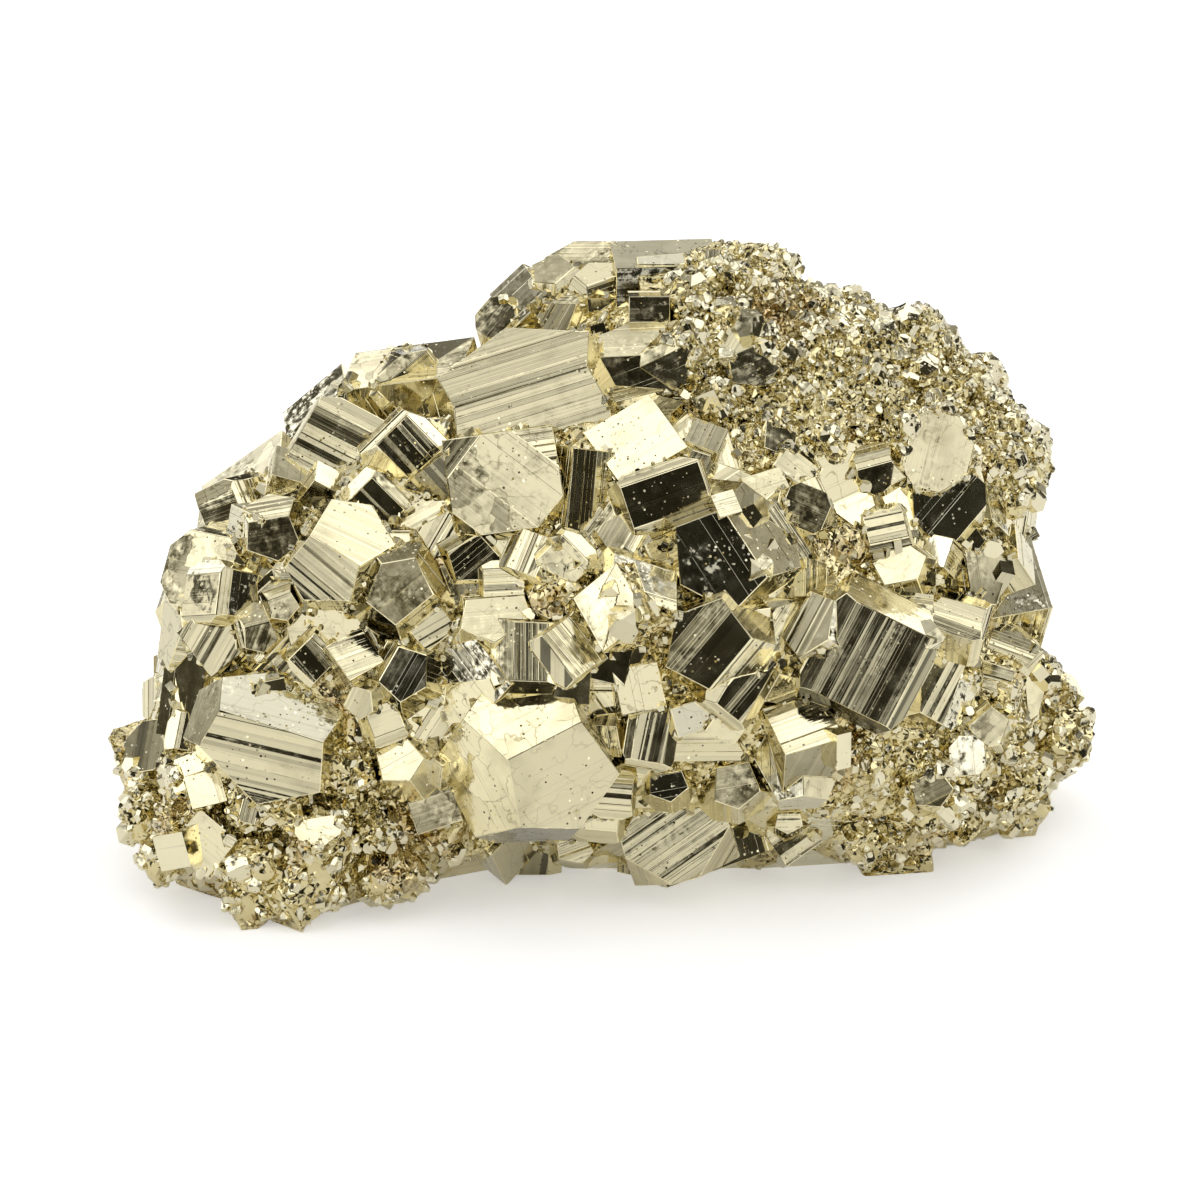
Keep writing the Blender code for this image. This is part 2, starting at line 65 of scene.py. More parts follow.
# %% Camera
SIGHT_SLOPE = math.radians(18.0)
EYE_DISTANCE = 333.0  # millimetres, as every size below that isn't multiplied by MM
TARGET = Vector((-0.74, -1.35, 26.0))
RIGHT = Vector((1.0, 0.0, 0.0))
UP = Vector((0.0, math.sin(SIGHT_SLOPE), math.cos(SIGHT_SLOPE)))
TOWARDS_EYE = Vector((0.0, -math.cos(SIGHT_SLOPE), math.sin(SIGHT_SLOPE)))
EYE = TARGET + TOWARDS_EYE * EYE_DISTANCE

lens = bpy.data.cameras.new("camera")
lens.lens = 100.0
lens.sensor_width = 36.0
lens.clip_start = 0.01
camera = bpy.data.objects.new("camera", lens)
facing = Matrix((RIGHT, UP, TOWARDS_EYE)).transposed().to_4x4()
camera.matrix_world = Matrix.Translation(EYE * MM) @ facing
bpy.context.scene.collection.objects.link(camera)
bpy.context.scene.camera = camera
print("camera at", [round(x) for x in EYE], "mm")

# %% [markdown]
# ## Two helpers for node trees
#
# Every shader and every Geometry Nodes tree below is written as a list of nodes. A node is added, its
# settings are set, and each input gets either a value or a link from another node's output. The same
# trees could be drawn by hand in the node editor, but written down they can be read and run again.

# %% Node helpers
def add(tree, kind, inputs=(), **settings):
    """Adds a node. inputs is {name or number: value or output socket}."""
    made = tree.nodes.new(kind)
    for name, value in settings.items():
        setattr(made, name, value)
    for key, value in dict(inputs).items():
        if isinstance(value, bpy.types.NodeSocket):
            tree.links.new(value, made.inputs[key])
        else:
            made.inputs[key].default_value = value
    return made


def calculate(tree, operation, *values):
    """A Math node's result."""
    return add(tree, "ShaderNodeMath", dict(enumerate(values)), operation=operation).outputs[0]


def vector_sum(tree, operation, *values):
    """A Vector Math node's result. SCALE takes its factor as the second value."""
    keys = [0, "Scale"] if operation == "SCALE" else [0, 1]
    return add(tree, "ShaderNodeVectorMath", dict(zip(keys, values)), operation=operation).outputs[0]

# %% [markdown]
# ## The studio
#
# A polished metal shows nothing but its surroundings, so the surroundings are half of its look. A
# crystal cluster is shown in a tent of white cloth, with soft lamps behind the cloth and dark gaps where
# the cloth ends: faces that mirror a lamp turn nearly white, faces that mirror the cloth turn tan, and
# faces that mirror a gap turn black. The sum below says how bright the tent is in each direction, from
# soft-edged panels at an azimuth and an elevation; azimuth 0 is the side of the camera. Ordinary area
# lamps would light the metal too, but with a sum Python can work out beforehand what a face mirrors,
# which a later step needs.

# %% How bright the tent is
class Panel(NamedTuple):
    """A soft-edged patch of the tent. All angles are in degrees."""

    azimuth: float
    elevation: float
    half_width: float
    half_height: float
    soft: float
    brightness: float


TENT = 0.045  # between the cloths
PANELS = (
    Panel(0, 90, 181, 31, 8, 0.95),  # the cloth overhead
    Panel(0, 90, 181, 13, 4, 1.6),  # and the lamp behind it
    Panel(-66, 34, 19, 22, 4, 1.8),  # lamps
    Panel(62, 36, 18, 21, 4, 1.7),
    Panel(148, 30, 18, 24, 4, 1.7),
    Panel(-146, 30, 16, 24, 4, 1.6),
    Panel(0, 55, 24, 7, 4, 1.5),
    Panel(-25, 34, 11, 17, 4, 0.95),  # dimmer cloths between the lamps
    Panel(25, 36, 11, 17, 4, 0.95),
    Panel(-105, 32, 13, 24, 4, 0.45),
    Panel(102, 30, 12, 24, 4, 0.40),
    Panel(180, 34, 9, 22, 4, 0.55),
    Panel(0, 19, 12, 12, 4, 0.02),  # the opening for the camera
)


def smooth_step(low, high, value):
    """0 up to low, 1 from high on, and a smooth ramp between them."""
    share = min(max((value - low) / (high - low), 0.0), 1.0)
    return share * share * (3.0 - 2.0 * share)


def tent_glow(direction):
    """How bright the tent is in a direction."""
    azimuth = math.degrees(math.atan2(direction.x, -direction.y))
    elevation = math.degrees(math.asin(max(-1.0, min(1.0, direction.z))))
    glow = TENT
    for panel in PANELS:
        across = abs((azimuth - panel.azimuth + 180.0) % 360.0 - 180.0)
        rise = abs(elevation - panel.elevation)
        inside = 1.0
        for distance, half in ((across, panel.half_width), (rise, panel.half_height)):
            inside *= 1.0 - smooth_step(half - panel.soft, half + panel.soft, distance)
        glow += (panel.brightness - glow) * inside
    return glow


print("straight back to the camera the tent glows", round(tent_glow(TOWARDS_EYE), 2))

# %% [markdown]
# ## Hanging the tent
#
# The tent is a dome that the camera doesn't see. Each of its corners carries the brightness of its
# direction as an attribute, and the cloth glows by as much, a little warmer where it is dark, as
# daylight off a room's walls would be. The specimen lies on a sheet of white paper, with some light
# coming up through it, which brightens the undersides.

# %% The tent and the floor
TENT_RADIUS = 2500.0
TENT_SEGMENTS = 180
FLOOR_GLOW = 0.42  # light that comes up through the paper, so that it shows nearly white
FLOOR_LIGHT = 0.2  # as much of it as falls on the specimen
FLOOR_SEEN = 0.75  # how bright the floor then looks in a mirroring face


def stage_piece(name, shape, material):
    """Makes an object of a bmesh, with the material on it."""
    mesh = bpy.data.meshes.new(name)
    shape.to_mesh(mesh)
    shape.free()
    mesh.materials.append(material)
    made = bpy.data.objects.new(name, mesh)
    bpy.context.scene.collection.objects.link(made)
    return made


cloth = bpy.data.materials.new("glowing cloth")
cloth.use_nodes = True
cloth.cycles.emission_sampling = "NONE"
weave = cloth.node_tree
weave.nodes.clear()
emission = add(weave, "ShaderNodeEmission",
               {"Color": add(weave, "ShaderNodeAttribute", attribute_name="glow").outputs["Color"]})
add(weave, "ShaderNodeOutputMaterial", {0: emission.outputs[0]})
dome = bmesh.new()
bmesh.ops.create_uvsphere(dome, u_segments=TENT_SEGMENTS, v_segments=TENT_SEGMENTS // 2,
                          radius=TENT_RADIUS * MM)
sunk = [vertex for vertex in dome.verts if vertex.co.z < -0.05 * TENT_RADIUS * MM]
bmesh.ops.delete(dome, geom=sunk, context="VERTS")
glow_layer = dome.verts.layers.float_color.new("glow")
for vertex in dome.verts:
    glow = tent_glow(vertex.co.normalized())
    warmth = 1.0 - smooth_step(0.0, 0.6, glow)
    vertex[glow_layer] = (glow, glow * (1.0 - 0.08 * warmth), glow * (1.0 - 0.35 * warmth), 1.0)
tent = stage_piece("tent", dome, cloth)
tent.visible_camera = False
tent.visible_shadow = False

paper = bpy.data.materials.new("white paper")
paper.use_nodes = True
paper.cycles.emission_sampling = "NONE"
paper_shader = paper.node_tree.nodes["Principled BSDF"]
for name, value in {"Base Color": (0.93, 0.93, 0.93, 1.0), "Roughness": 0.8, "Specular IOR Level": 0.1,
                    "Emission Color": (1.0, 1.0, 1.0, 1.0)}.items():
    paper_shader.inputs[name].default_value = value
straight = add(paper.node_tree, "ShaderNodeLightPath").outputs["Is Camera Ray"]
glow = calculate(paper.node_tree, "MULTIPLY_ADD", straight, FLOOR_GLOW - FLOOR_LIGHT, FLOOR_LIGHT)
paper.node_tree.links.new(glow, paper_shader.inputs["Emission Strength"])
sheet = bmesh.new()
bmesh.ops.create_circle(sheet, cap_ends=True, segments=96, radius=TENT_RADIUS * 0.99 * MM)
stage_piece("floor", sheet, paper)

world = bpy.data.worlds.new("backdrop")
world.use_nodes = True
world.cycles.sampling_method = "NONE"
world.node_tree.nodes["Background"].inputs["Color"].default_value = (1.0, 1.0, 1.0, 1.0)
bpy.context.scene.world = world
bpy.context.scene.view_settings.view_transform = "Standard"

# %% [markdown]
# ## Finding the crystals in the solid
#
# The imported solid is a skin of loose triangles. Welding its corners and dissolving the edges between
# triangles of one plane gives back the flat faces. Where two faces meet in an outward edge they belong
# to the same crystal, and where two crystals run into each other the edge always points inwards. The
# massive pyrite under the crystals gives itself away too: its faces meet at small angles, which no two
# crystal faces do. The crystals could also be modelled a second time, but only faces that are taken
# from the solid are sure to lie where the solid has them.

# %% Faces, crystals and massive pyrite
WELD = 0.002  # mm: corners closer than this are one corner
COPLANAR = math.radians(0.4)
BODY_ANGLE = math.radians(20.0)  # the facets of the massive pyrite meet at less than this
BASE_HEIGHT = 0.2

skin = bmesh.new()
skin.from_mesh(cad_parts[NODE].data)
skin.transform(Matrix.Scale(1.0 / MM, 4))
bmesh.ops.remove_doubles(skin, verts=skin.verts, dist=WELD)
bmesh.ops.dissolve_limit(skin, angle_limit=COPLANAR, verts=skin.verts, edges=skin.edges)
skin.normal_update()
skin.verts.index_update()
skin.faces.ensure_lookup_table()
skin.faces.index_update()
skin_tree = BVHTree.FromBMesh(skin)


def linked(faces, joins):
    """Sorts faces into groups that are joined by edges for which joins is true."""
    grouped = set()
    groups = []
    for face in faces:
        if face in grouped:
            continue
        grouped.add(face)
        found = [face]
        for member in found:
            for edge in member.edges:
                if len(edge.link_faces) != 2 or not joins(edge):
                    continue
                for other in edge.link_faces:
                    if other not in grouped:
                        grouped.add(other)
                        found.append(other)
        groups.append(found)
    return groups


def is_smooth(edge):
    return COPLANAR < edge.calc_face_angle(0.0) < BODY_ANGLE


massive = {face for group in linked(skin.faces, is_smooth) if len(group) > 1 for face in group}
base = {face for face in skin.faces
        if face.normal.z < -0.99 and face.calc_center_median().z < BASE_HEIGHT}
not_crystal = massive | base


def same_crystal(edge):
    """True for an outward or flat edge between two crystal faces."""
    return edge.calc_face_angle_signed(0.0) > -COPLANAR and not not_crystal.intersection(edge.link_faces)


crystal_faces = [face for face in skin.faces if face not in not_crystal]
crystals = linked(crystal_faces, same_crystal)
massive_area, whole_area = (sum(face.calc_area() for face in faces) for faces in (massive, skin.faces))
print(len(skin.faces), "faces,", len(crystal_faces), "of them on", len(crystals), "crystals")
print("massive pyrite shows over", round(massive_area), "of", round(whole_area), "mm2")

# %% [markdown]
# ## Which way the grooves run
#
# Pyrite faces are ruled with fine parallel grooves, because a growing face wavers between cube and
# pyritohedron. They run along the edge that those two forms share. On a pyritohedron that is the ridge
# whose two slopes stand 53 degrees apart; on a cube with narrow pyritohedron faces it is the edge
# between them, 27 degrees; and on a plain cube the longest edge is taken. A face has one direction
# along the grooves, one across them, and its outward normal, and these three make its own small frame.

# %% Groove directions
RIDGE_ANGLE = 53.13  # degrees between the normals beside a pyritohedron's ridge
LEDGE_ANGLE = 26.57  # and between a cube face and a pyritohedron face
ANGLE_SLACK = 3.0
RIDGE_WORTH = 200.0  # such an edge counts as this many mm longer
LEDGE_WORTH = 100.0


def groove_direction(face):
    """The unit vector along the grooves of a crystal face, read from the edges around it."""
    best = None
    for edge in face.edges:
        if len(edge.link_faces) != 2 or not same_crystal(edge):
            continue
        angle = math.degrees(edge.calc_face_angle(0.0))
        if angle < 1.0:
            continue
        along = (edge.verts[1].co - edge.verts[0].co).normalized()
        worth = edge.calc_length()
        if abs(angle - RIDGE_ANGLE) < ANGLE_SLACK:
            worth += RIDGE_WORTH
        elif abs(angle - LEDGE_ANGLE) < ANGLE_SLACK:
            worth += LEDGE_WORTH
        if best is None or worth > best[0]:
            best = (worth, along)
    if best is None:
        longest = max(face.edges, key=lambda edge: edge.calc_length())
        return (longest.verts[1].co - longest.verts[0].co).normalized()
    along = best[1]
    return (along - face.normal * along.dot(face.normal)).normalized()


def direction_in_view(face, degrees):
    """The direction in the face's plane that is seen at this angle from level."""
    angle = math.radians(degrees)
    in_picture = RIGHT * math.cos(angle) + UP * math.sin(angle)
    sight = (face.calc_center_median() - EYE).normalized()
    along = in_picture - sight * (in_picture.dot(face.normal) / sight.dot(face.normal))
    return along.normalized()

# %% [markdown]
# ## What each large face shows
#
# The best side of the specimen has faces that are known one by one: some are mirrors, some are ruled
# with broad bright and dark bands, some are dull and cracked. The table below says for each look, which
# is how bright a face should shine and how it is ruled, where on the specimen it is found. A face is
# named by a point on it, in millimetres across and up in the picture plane, and where its grooves don't
# run in the crystal's own direction, a third number gives their angle. A ray from the eye through the
# point finds the face.

# %% Finishes of the large faces
DARK, GREY, TAN, CREAM, WHITE = 0.04, 0.22, 0.45, 0.90, 1.60  # how bright the tent in it should be
PLAIN, FINE, BANDED, CRACKED, MOTTLED = "plain", "fine", "banded", "cracked", "mottled"


class Finish(NamedTuple):
    """The look of one large face."""

    glow: float
    ruling: str
    angle: float = None


FINISHES = {  # (brightness, ruling): where its faces are, from left to right: across, up and any angle
    (DARK, PLAIN): ((-33.1, 6.5), (-10.5, 28.3), (-1.2, -3.3), (7.2, 23.0), (15.2, 23.2), (17.8, 16.5),
        (20.0, 9.3), (27.6, 12.0)),
    (DARK, FINE): ((-12.4, 4.3, 40), (3.2, 22.5, 20), (10.6, 9.7, 20), (25.5, -5.6, 62)),
    (DARK, BANDED): ((-28.7, -5.9, -50), (-27.9, 10.2, -27), (-22.5, -2.1, 35), (-17.7, -2.0, 35),
        (-6.8, -26.4, 80), (6.4, 9.8, 20), (9.6, -3.5, 50), (20.8, -7.1, 62), (24.4, -1.0, 62),
        (34.0, -8.8, 62)),
    (DARK, CRACKED): ((4.7, 28.3),),
    (DARK, MOTTLED): ((-35.6, 0.5), (-19.5, -7.5), (3.7, 32.1), (6.6, -18.6), (11.4, 2.9, -57),
        (24.2, -11.1), (34.3, 9.3)),
    (GREY, PLAIN): ((-20.0, 5.1),),
    (GREY, FINE): ((-37.7, 8.2, 20), (-34.1, -3.9, 70), (-4.8, 27.8, 60), (21.2, -17.0, 60),
        (29.0, 5.1, 12)),
    (GREY, BANDED): ((-45.6, -14.5, 80), (-19.3, 14.6, -48), (-16.8, 11.9, -48), (-7.3, -5.4, 90),
        (-5.5, -6.4, 90)),
    (GREY, CRACKED): ((33.0, -19.0),),
    (GREY, MOTTLED): ((-13.1, -6.0), (-8.0, 30.7), (-6.8, -23.5), (35.9, 2.8), (42.7, 0.5)),
    (TAN, PLAIN): ((-39.5, -11.1), (-34.4, -1.6), (-31.7, -0.6), (-20.2, 23.5), (-20.2, 1.2),
        (-19.8, 19.7), (-15.8, 19.4), (-8.6, -25.9), (-5.8, 32.6), (-4.0, -18.3), (-1.8, 33.7),
        (13.4, -18.7), (18.0, -17.6), (38.5, -12.9)),
    (TAN, FINE): ((-35.0, -21.1, 75), (2.8, 5.9, 60), (7.4, -23.1, 35), (20.9, -1.5, 62),
        (41.2, -4.3, -20)),
    (TAN, BANDED): ((-2.0, 9.0, 85), (15.6, -7.8, 50), (34.8, -2.5, -20)),
    (TAN, CRACKED): ((-43.3, -1.7), (-39.0, 11.0), (-16.7, -22.9), (6.1, 25.2)),
    (TAN, MOTTLED): ((-28.7, 20.0), (9.1, -11.9), (17.5, -17.4)),
    (CREAM, PLAIN): ((-39.9, -23.7), (-17.9, 25.1), (-15.8, 25.4), (-10.7, -1.6), (-10.0, -2.1),
        (1.3, 25.9), (17.0, 11.1), (19.7, 13.2), (33.5, 14.8), (42.5, -8.7)),
    (CREAM, FINE): ((-38.8, -3.8, 60), (-25.0, 18.7, -27), (-16.1, 6.2, 60), (-8.7, 23.8, 17),
        (-6.5, 17.7, 17), (-3.0, 32.3, 30), (13.7, 26.4, 60), (33.9, -0.6, -20), (39.3, -8.0, -15)),
    (CREAM, BANDED): ((-33.8, -15.9, -13), (-28.2, 2.6, -40), (-22.3, 9.1, -45), (-16.1, -3.2, 30),
        (-10.0, 1.9, 3), (5.5, -12.5, 78), (14.0, -6.9, 50), (15.2, -2.2, 50), (28.3, 7.2, 12),
        (31.5, -8.6, 62)),
    (CREAM, CRACKED): ((-40.7, 4.0), (-40.0, 0.6), (-35.2, 13.4), (-20.2, 22.2), (-13.5, -9.9),
        (-13.2, -17.7), (-9.1, 10.2), (5.7, 34.6)),
    (CREAM, MOTTLED): ((-32.0, -10.7, -14), (4.7, 2.6, -20)),
    (WHITE, PLAIN): ((-41.0, -16.9), (-39.0, -18.1), (-20.3, -15.6), (0.1, 0.1), (2.2, -1.0), (2.4, 14.9),
        (30.9, -1.3)),
    (WHITE, FINE): ((-24.7, 7.1, -25), (-24.2, -5.5, 20), (19.5, -11.2, 20)),
    (WHITE, BANDED): ((-26.5, 15.1, -27), (-7.0, 4.3, 68), (-2.9, -4.8, -50), (1.8, -19.4, -5)),
    (WHITE, CRACKED): ((-28.7, -22.9), (-7.4, -10.6), (29.8, 3.6)),
    (WHITE, MOTTLED): ((36.6, -15.6),),
}


def face_at(across, up):
    """The number of the face that the eye sees at a point of the picture plane."""
    return skin_tree.ray_cast(EYE, (TARGET + RIGHT * across + UP * up - EYE).normalized())[2]


finish_of = {face_at(across, up): Finish(*look, *angle)
             for look, spots in FINISHES.items() for across, up, *angle in spots}
print(len(finish_of), "faces have a finish of their own")

# %% [markdown]
# ## Where the druse is
#
# In some places the specimen carries no large crystals but a crust of fine ones, a druse. The patches
# on the best side are circles in the picture plane with a ragged edge; on the far side they lie where a
# noise is high. Inside them every crystal face that isn't in the table counts as massive pyrite.
# Outside them the massive pyrite is crumbly in some places and has smooth plates in others. A noise
# says which, and the plates are treated as crystal faces from here on.

# %% Druse
DRUSE = ((21, 27, 13), (34, 24, 11), (42, 19, 9), (-44, -21, 7), (-38, -23, 9), (-27, -27, 11),
         (-18, -27, 5), (45, -14, 7), (31, -20, 9), (40, -22, 6))  # circles: across, up, radius
FAR_SIDE = -0.6  # a place whose normal points away from the eye by more than this is on the far side
FAR_DRUSE = 0.12  # there the druse lies where a noise is above this
PLATES = ((-23, 22, 8), (-34, 14, 6), (-17, 26, 5), (-48, -13, 4))  # circles of bare massive pyrite
CRUMBLY = -0.15  # elsewhere it is smooth where a noise is above this


def seen_at(place):
    """Where the eye sees a place in mm: across and up in the picture plane."""
    sight = place - EYE
    sight *= EYE_DISTANCE / sight.dot((TARGET - EYE).normalized())
    return (EYE + sight - TARGET).dot(RIGHT), (EYE + sight - TARGET).dot(UP)


def in_circles(place, circles, ragged=0.0):
    """True where a place is seen inside one of the circles, each larger by ragged."""
    across, up = seen_at(place)
    return any(math.hypot(across - x, up - y) < radius + ragged for x, y, radius in circles)


def in_druse(place, normal):
    """True in a patch of fine druse. On the far side the patches lie where a noise puts them."""
    ragged = 3.0 * noise.noise(place / 4.0)
    if normal.dot((EYE - place).normalized()) > FAR_SIDE:
        return in_circles(place, DRUSE, ragged)
    return noise.noise(place / 16.0) > FAR_DRUSE


def is_plate(face):
    """True where the massive pyrite has smooth faces of its own instead of crumbs."""
    place = face.calc_center_median()
    crumbly = noise.noise(place / 9.0) <= CRUMBLY and not in_circles(place, PLATES)
    return not in_druse(place, face.normal) and not crumbly


plates = {face for face in massive if is_plate(face)}
overgrown = set()
for members in crystals:
    heart = sum((face.calc_center_median() for face in members), Vector()) / len(members)
    outward = sum((face.normal * face.calc_area() for face in members), Vector()).normalized()
    if in_druse(heart, outward):
        overgrown.update(face for face in members if face.index not in finish_of)
print(len(overgrown), "crystal faces lie under the druse")

# %% [markdown]
# ## Turning a face to the light
#
# No crystal face is perfectly true, and a face that is out by a few degrees mirrors a different part of
# the tent. The next cell makes use of it: for a face that should shine or stay dark it tries tilts on
# rings around the true normal, follows the mirrored ray, and keeps the tilt whose patch of tent is
# nearest to the brightness asked for. A large tilt counts against itself, and so does one whose ray
# would strike the specimen again. Moving the lamps about could do the same for one face, but never for
# all of them at once. Where no tilt is dark enough, the face's colour is darkened to make up the rest,
# which is painted shade.

# %% Tilts
MOST_TILT = 24.0  # degrees
TILT_STEP = 1.5
TILT_TURNS = 12  # how many tilts are tried on each ring
TILT_COST = 0.03  # what a degree of tilt counts against it
BAND_TILTS = range(-16, 17, 2)  # degrees, tried for a single band
BLOCKED_COST = 0.8
BLOCKED_REACH = 0.3, 60.0  # mm from the face between which a ray may be blocked
DARK_FACE_PAINTED_SHADE = 0.65
DARKEST_PAINTED_SHADE = 0.35


def mirrored(place, normal):
    """The direction that the eye sees mirrored in a face."""
    toward_eye = (EYE - place).normalized()
    return normal * (2.0 * normal.dot(toward_eye)) - toward_eye


def glow_along(ray):
    """How bright the tent or the floor is at the end of a mirrored ray."""
    return tent_glow(ray) if ray.z > 0.0 else FLOOR_SEEN


def misfit(place, normal, glow):
    """How far the mirrored part of the tent is from the brightness asked for."""
    ray = mirrored(place, normal)
    cost = abs(math.log((glow_along(ray) + 0.05) / (glow + 0.05)))
    if skin_tree.ray_cast(place + normal * BLOCKED_REACH[0], ray, BLOCKED_REACH[1])[0] is not None:
        cost += BLOCKED_COST
    return cost


def tilt_to(place, normal, along, glow):
    """The small vector that, added to the normal, makes the face shine as asked."""
    across = normal.cross(along)
    tries = [Vector()]
    for ring in range(1, int(MOST_TILT / TILT_STEP) + 1):
        reach = math.tan(math.radians(ring * TILT_STEP))
        for step in range(TILT_TURNS):
            turn = math.tau * step / TILT_TURNS
            tries.append(along * math.cos(turn) * reach + across * math.sin(turn) * reach)

    def cost(tilt):
        return misfit(place, (normal + tilt).normalized(), glow) + TILT_COST * math.degrees(tilt.length)

    return min(tries, key=cost)


def painted_shade_for(place, normal, glow):
    """Painted shade: how much the face's colour is darkened where the tilt alone leaves it too bright."""
    seen_glow = glow_along(mirrored(place, normal))
    darkened = min(max(math.sqrt((glow + 0.03) / (seen_glow + 0.03)), DARKEST_PAINTED_SHADE), 1.0)
    # painted shade: faces that should look black are darkened further
    return darkened * (DARK_FACE_PAINTED_SHADE if glow <= DARK else 1.0)


def band_slope(place, normal, across, glow, rng):
    """The slope of one band of a ruled face that makes it shine as asked, about the grooves alone."""
    slopes = [math.tan(math.radians(angle + rng.uniform(-0.5, 0.5))) for angle in BAND_TILTS]

    def cost(slope):
        tilted = (normal - across * slope).normalized()
        return misfit(place, tilted, glow) + 0.5 * TILT_COST * math.degrees(math.atan(abs(slope)))

    return min(slopes, key=cost)

# %% [markdown]
# ## Cutting the grooves
#
# Each crystal face is rebuilt. Its outline is drawn in by less than a tenth of a millimetre, which leaves a
# narrow rim; the corners of the rim sink a little, so that every edge becomes a thin worn bevel that catches
# the light. The middle is cut into parallel strips, and each strip is tilted about its own centre line,
# with a steep little riser down to the next one, like the cross-section of a file. The tilts of a
# banded face are chosen with the light in mind, and those of the others at random. A bump texture could
# rule the faces more cheaply, but cut strips have real edges and hold up from every side.

# %% One face, rebuilt
RIM = 0.07  # mm by which the outline is drawn in
RIM_SINK = 0.03  # mm by which its corners sink
RISER = 0.035  # mm from one strip to the next
MOST_HEIGHT = 0.13  # mm of a strip's edge above or below the face
MOST_STRIPS = 60
WIDTH_LIMITS = 0.25, 4.0  # of a strip, as shares of the mean width
STRIP_SHADES = 0.72, 1.0  # between these the tone of a ruled face changes from strip to strip
NEW_BAND = 0.7  # how often a strip of a banded face doesn't shine like the one before it
DARK_BAND = 0.6  # a dark band on a bright face is this much narrower
STEEP_ODDS = 0.14  # how often a strip that isn't turned to the light is steep and narrow
STEEP_TILTS = 12.0, 26.0  # degrees
STEEP_WIDTH = 0.15
SHARPEST = 0.12  # keeps the rim at a sharp corner from running far in
SHORTEST = 0.004  # mm: a side of the drawn-in outline that is shorter is taken out
LEAST_LEFT = 0.15, 0.02  # share of the face and mm2 that the rim has to leave
SEED_CELL = 20  # parts of a millimetre
SEED_PRIMES = 73856093, 19349663, 83492791  # large, so that hardly any two faces share a seed
RULINGS = {  # mean width of a strip in mm, spread of the widths, spread of the tilts in degrees
    PLAIN: (3.0, 0.5, 0.5),
    CRACKED: (2.5, 0.5, 0.3),
    FINE: (0.36, 0.6, 2.4),
    MOTTLED: (0.9, 0.6, 1.2),
    BANDED: (0.34, 0.6, 6.0),
}
BAND_GLOWS = {  # glow of the face: glows of its bands, drawn at random
    DARK: (DARK, DARK, DARK, DARK, GREY, WHITE),
    GREY: (GREY, DARK, GREY, DARK, CREAM),
    TAN: (TAN, TAN, GREY, CREAM, DARK, WHITE),
    CREAM: (CREAM, CREAM, CREAM, WHITE, GREY, DARK, DARK),
    WHITE: (WHITE, WHITE, WHITE, DARK, DARK, GREY),
}


def seeded(place):
    """A random generator that depends only on where a face is."""
    a, b, c = (round(x * SEED_CELL) * prime for x, prime in zip(place, SEED_PRIMES))
    return random.Random(a ^ b ^ c)


def area_of(outline):
    """The area of a polygon, given by 2D points against the clock."""
    after = np.roll(outline, -1, axis=0)
    return (outline[:, 0] * after[:, 1] - outline[:, 1] * after[:, 0]).sum() / 2


def inset(outline, rim):
    """The outline of a flat polygon drawn in by rim, or None if too little would be left of it."""
    count = len(outline)
    sides = np.roll(outline, -1, axis=0) - outline
    sides /= np.maximum(np.linalg.norm(sides, axis=1), 1e-9)[:, None]
    inward = np.stack([-sides[:, 1], sides[:, 0]], axis=1)
    before = np.roll(inward, 1, axis=0)
    shift = (inward + before) / np.maximum(1.0 + (inward * before).sum(axis=1), SHARPEST)[:, None]
    drawn = outline + rim * shift
    for _ in range(3):
        turned = ((np.roll(drawn, -1, axis=0) - drawn) * sides).sum(axis=1) < SHORTEST
        if not turned.any():
            break
        for i in np.flatnonzero(turned):
            j = (i + 1) % count
            drawn[i] = drawn[j] = (drawn[i] + drawn[j]) / 2
    else:
        return None
    share, least = LEAST_LEFT
    return drawn if area_of(drawn) > max(share * area_of(outline), least) else None


def strip_profile(low, high, place, normal, across, glow, ruling, rng):
    """Knots (distance across, height, tone) of a ruled face's cross-section."""
    mean, width_spread, tilt_spread = RULINGS[ruling]
    mean = max(mean, (high - low) / MOST_STRIPS)
    knots = []
    band_glow = None
    edge = low - rng.uniform(0.0, mean)
    while edge < high:
        width = mean * min(max(rng.lognormvariate(0.0, width_spread), WIDTH_LIMITS[0]), WIDTH_LIMITS[1])
        shade = rng.uniform(*STRIP_SHADES) if ruling in (FINE, BANDED) else 1.0
        if ruling == BANDED and glow:
            if band_glow is None or rng.random() < NEW_BAND:
                band_glow = rng.choice(BAND_GLOWS[glow])
            if band_glow < TAN < glow:
                width *= DARK_BAND
            slope = band_slope(place, normal, across, band_glow, rng)
            # painted shade: a band whose tilt leaves it too bright gets a darker colour, on top of its random
            # strip tone
            shade *= painted_shade_for(place, (normal - across * slope).normalized(), band_glow)
        else:
            slope = math.tan(math.radians(rng.gauss(0.0, tilt_spread)))
            if ruling in (FINE, BANDED) and rng.random() < STEEP_ODDS:
                slope = math.tan(math.radians(rng.choice((-1, 1)) * rng.uniform(*STEEP_TILTS)))
                width = min(width, STEEP_WIDTH)
        rise = min(max(slope * width, -2.0 * MOST_HEIGHT), 2.0 * MOST_HEIGHT) / 2.0
        knots += [(edge, -rise, shade), (edge + width, rise, shade)]
        edge += width + RISER
    return knots


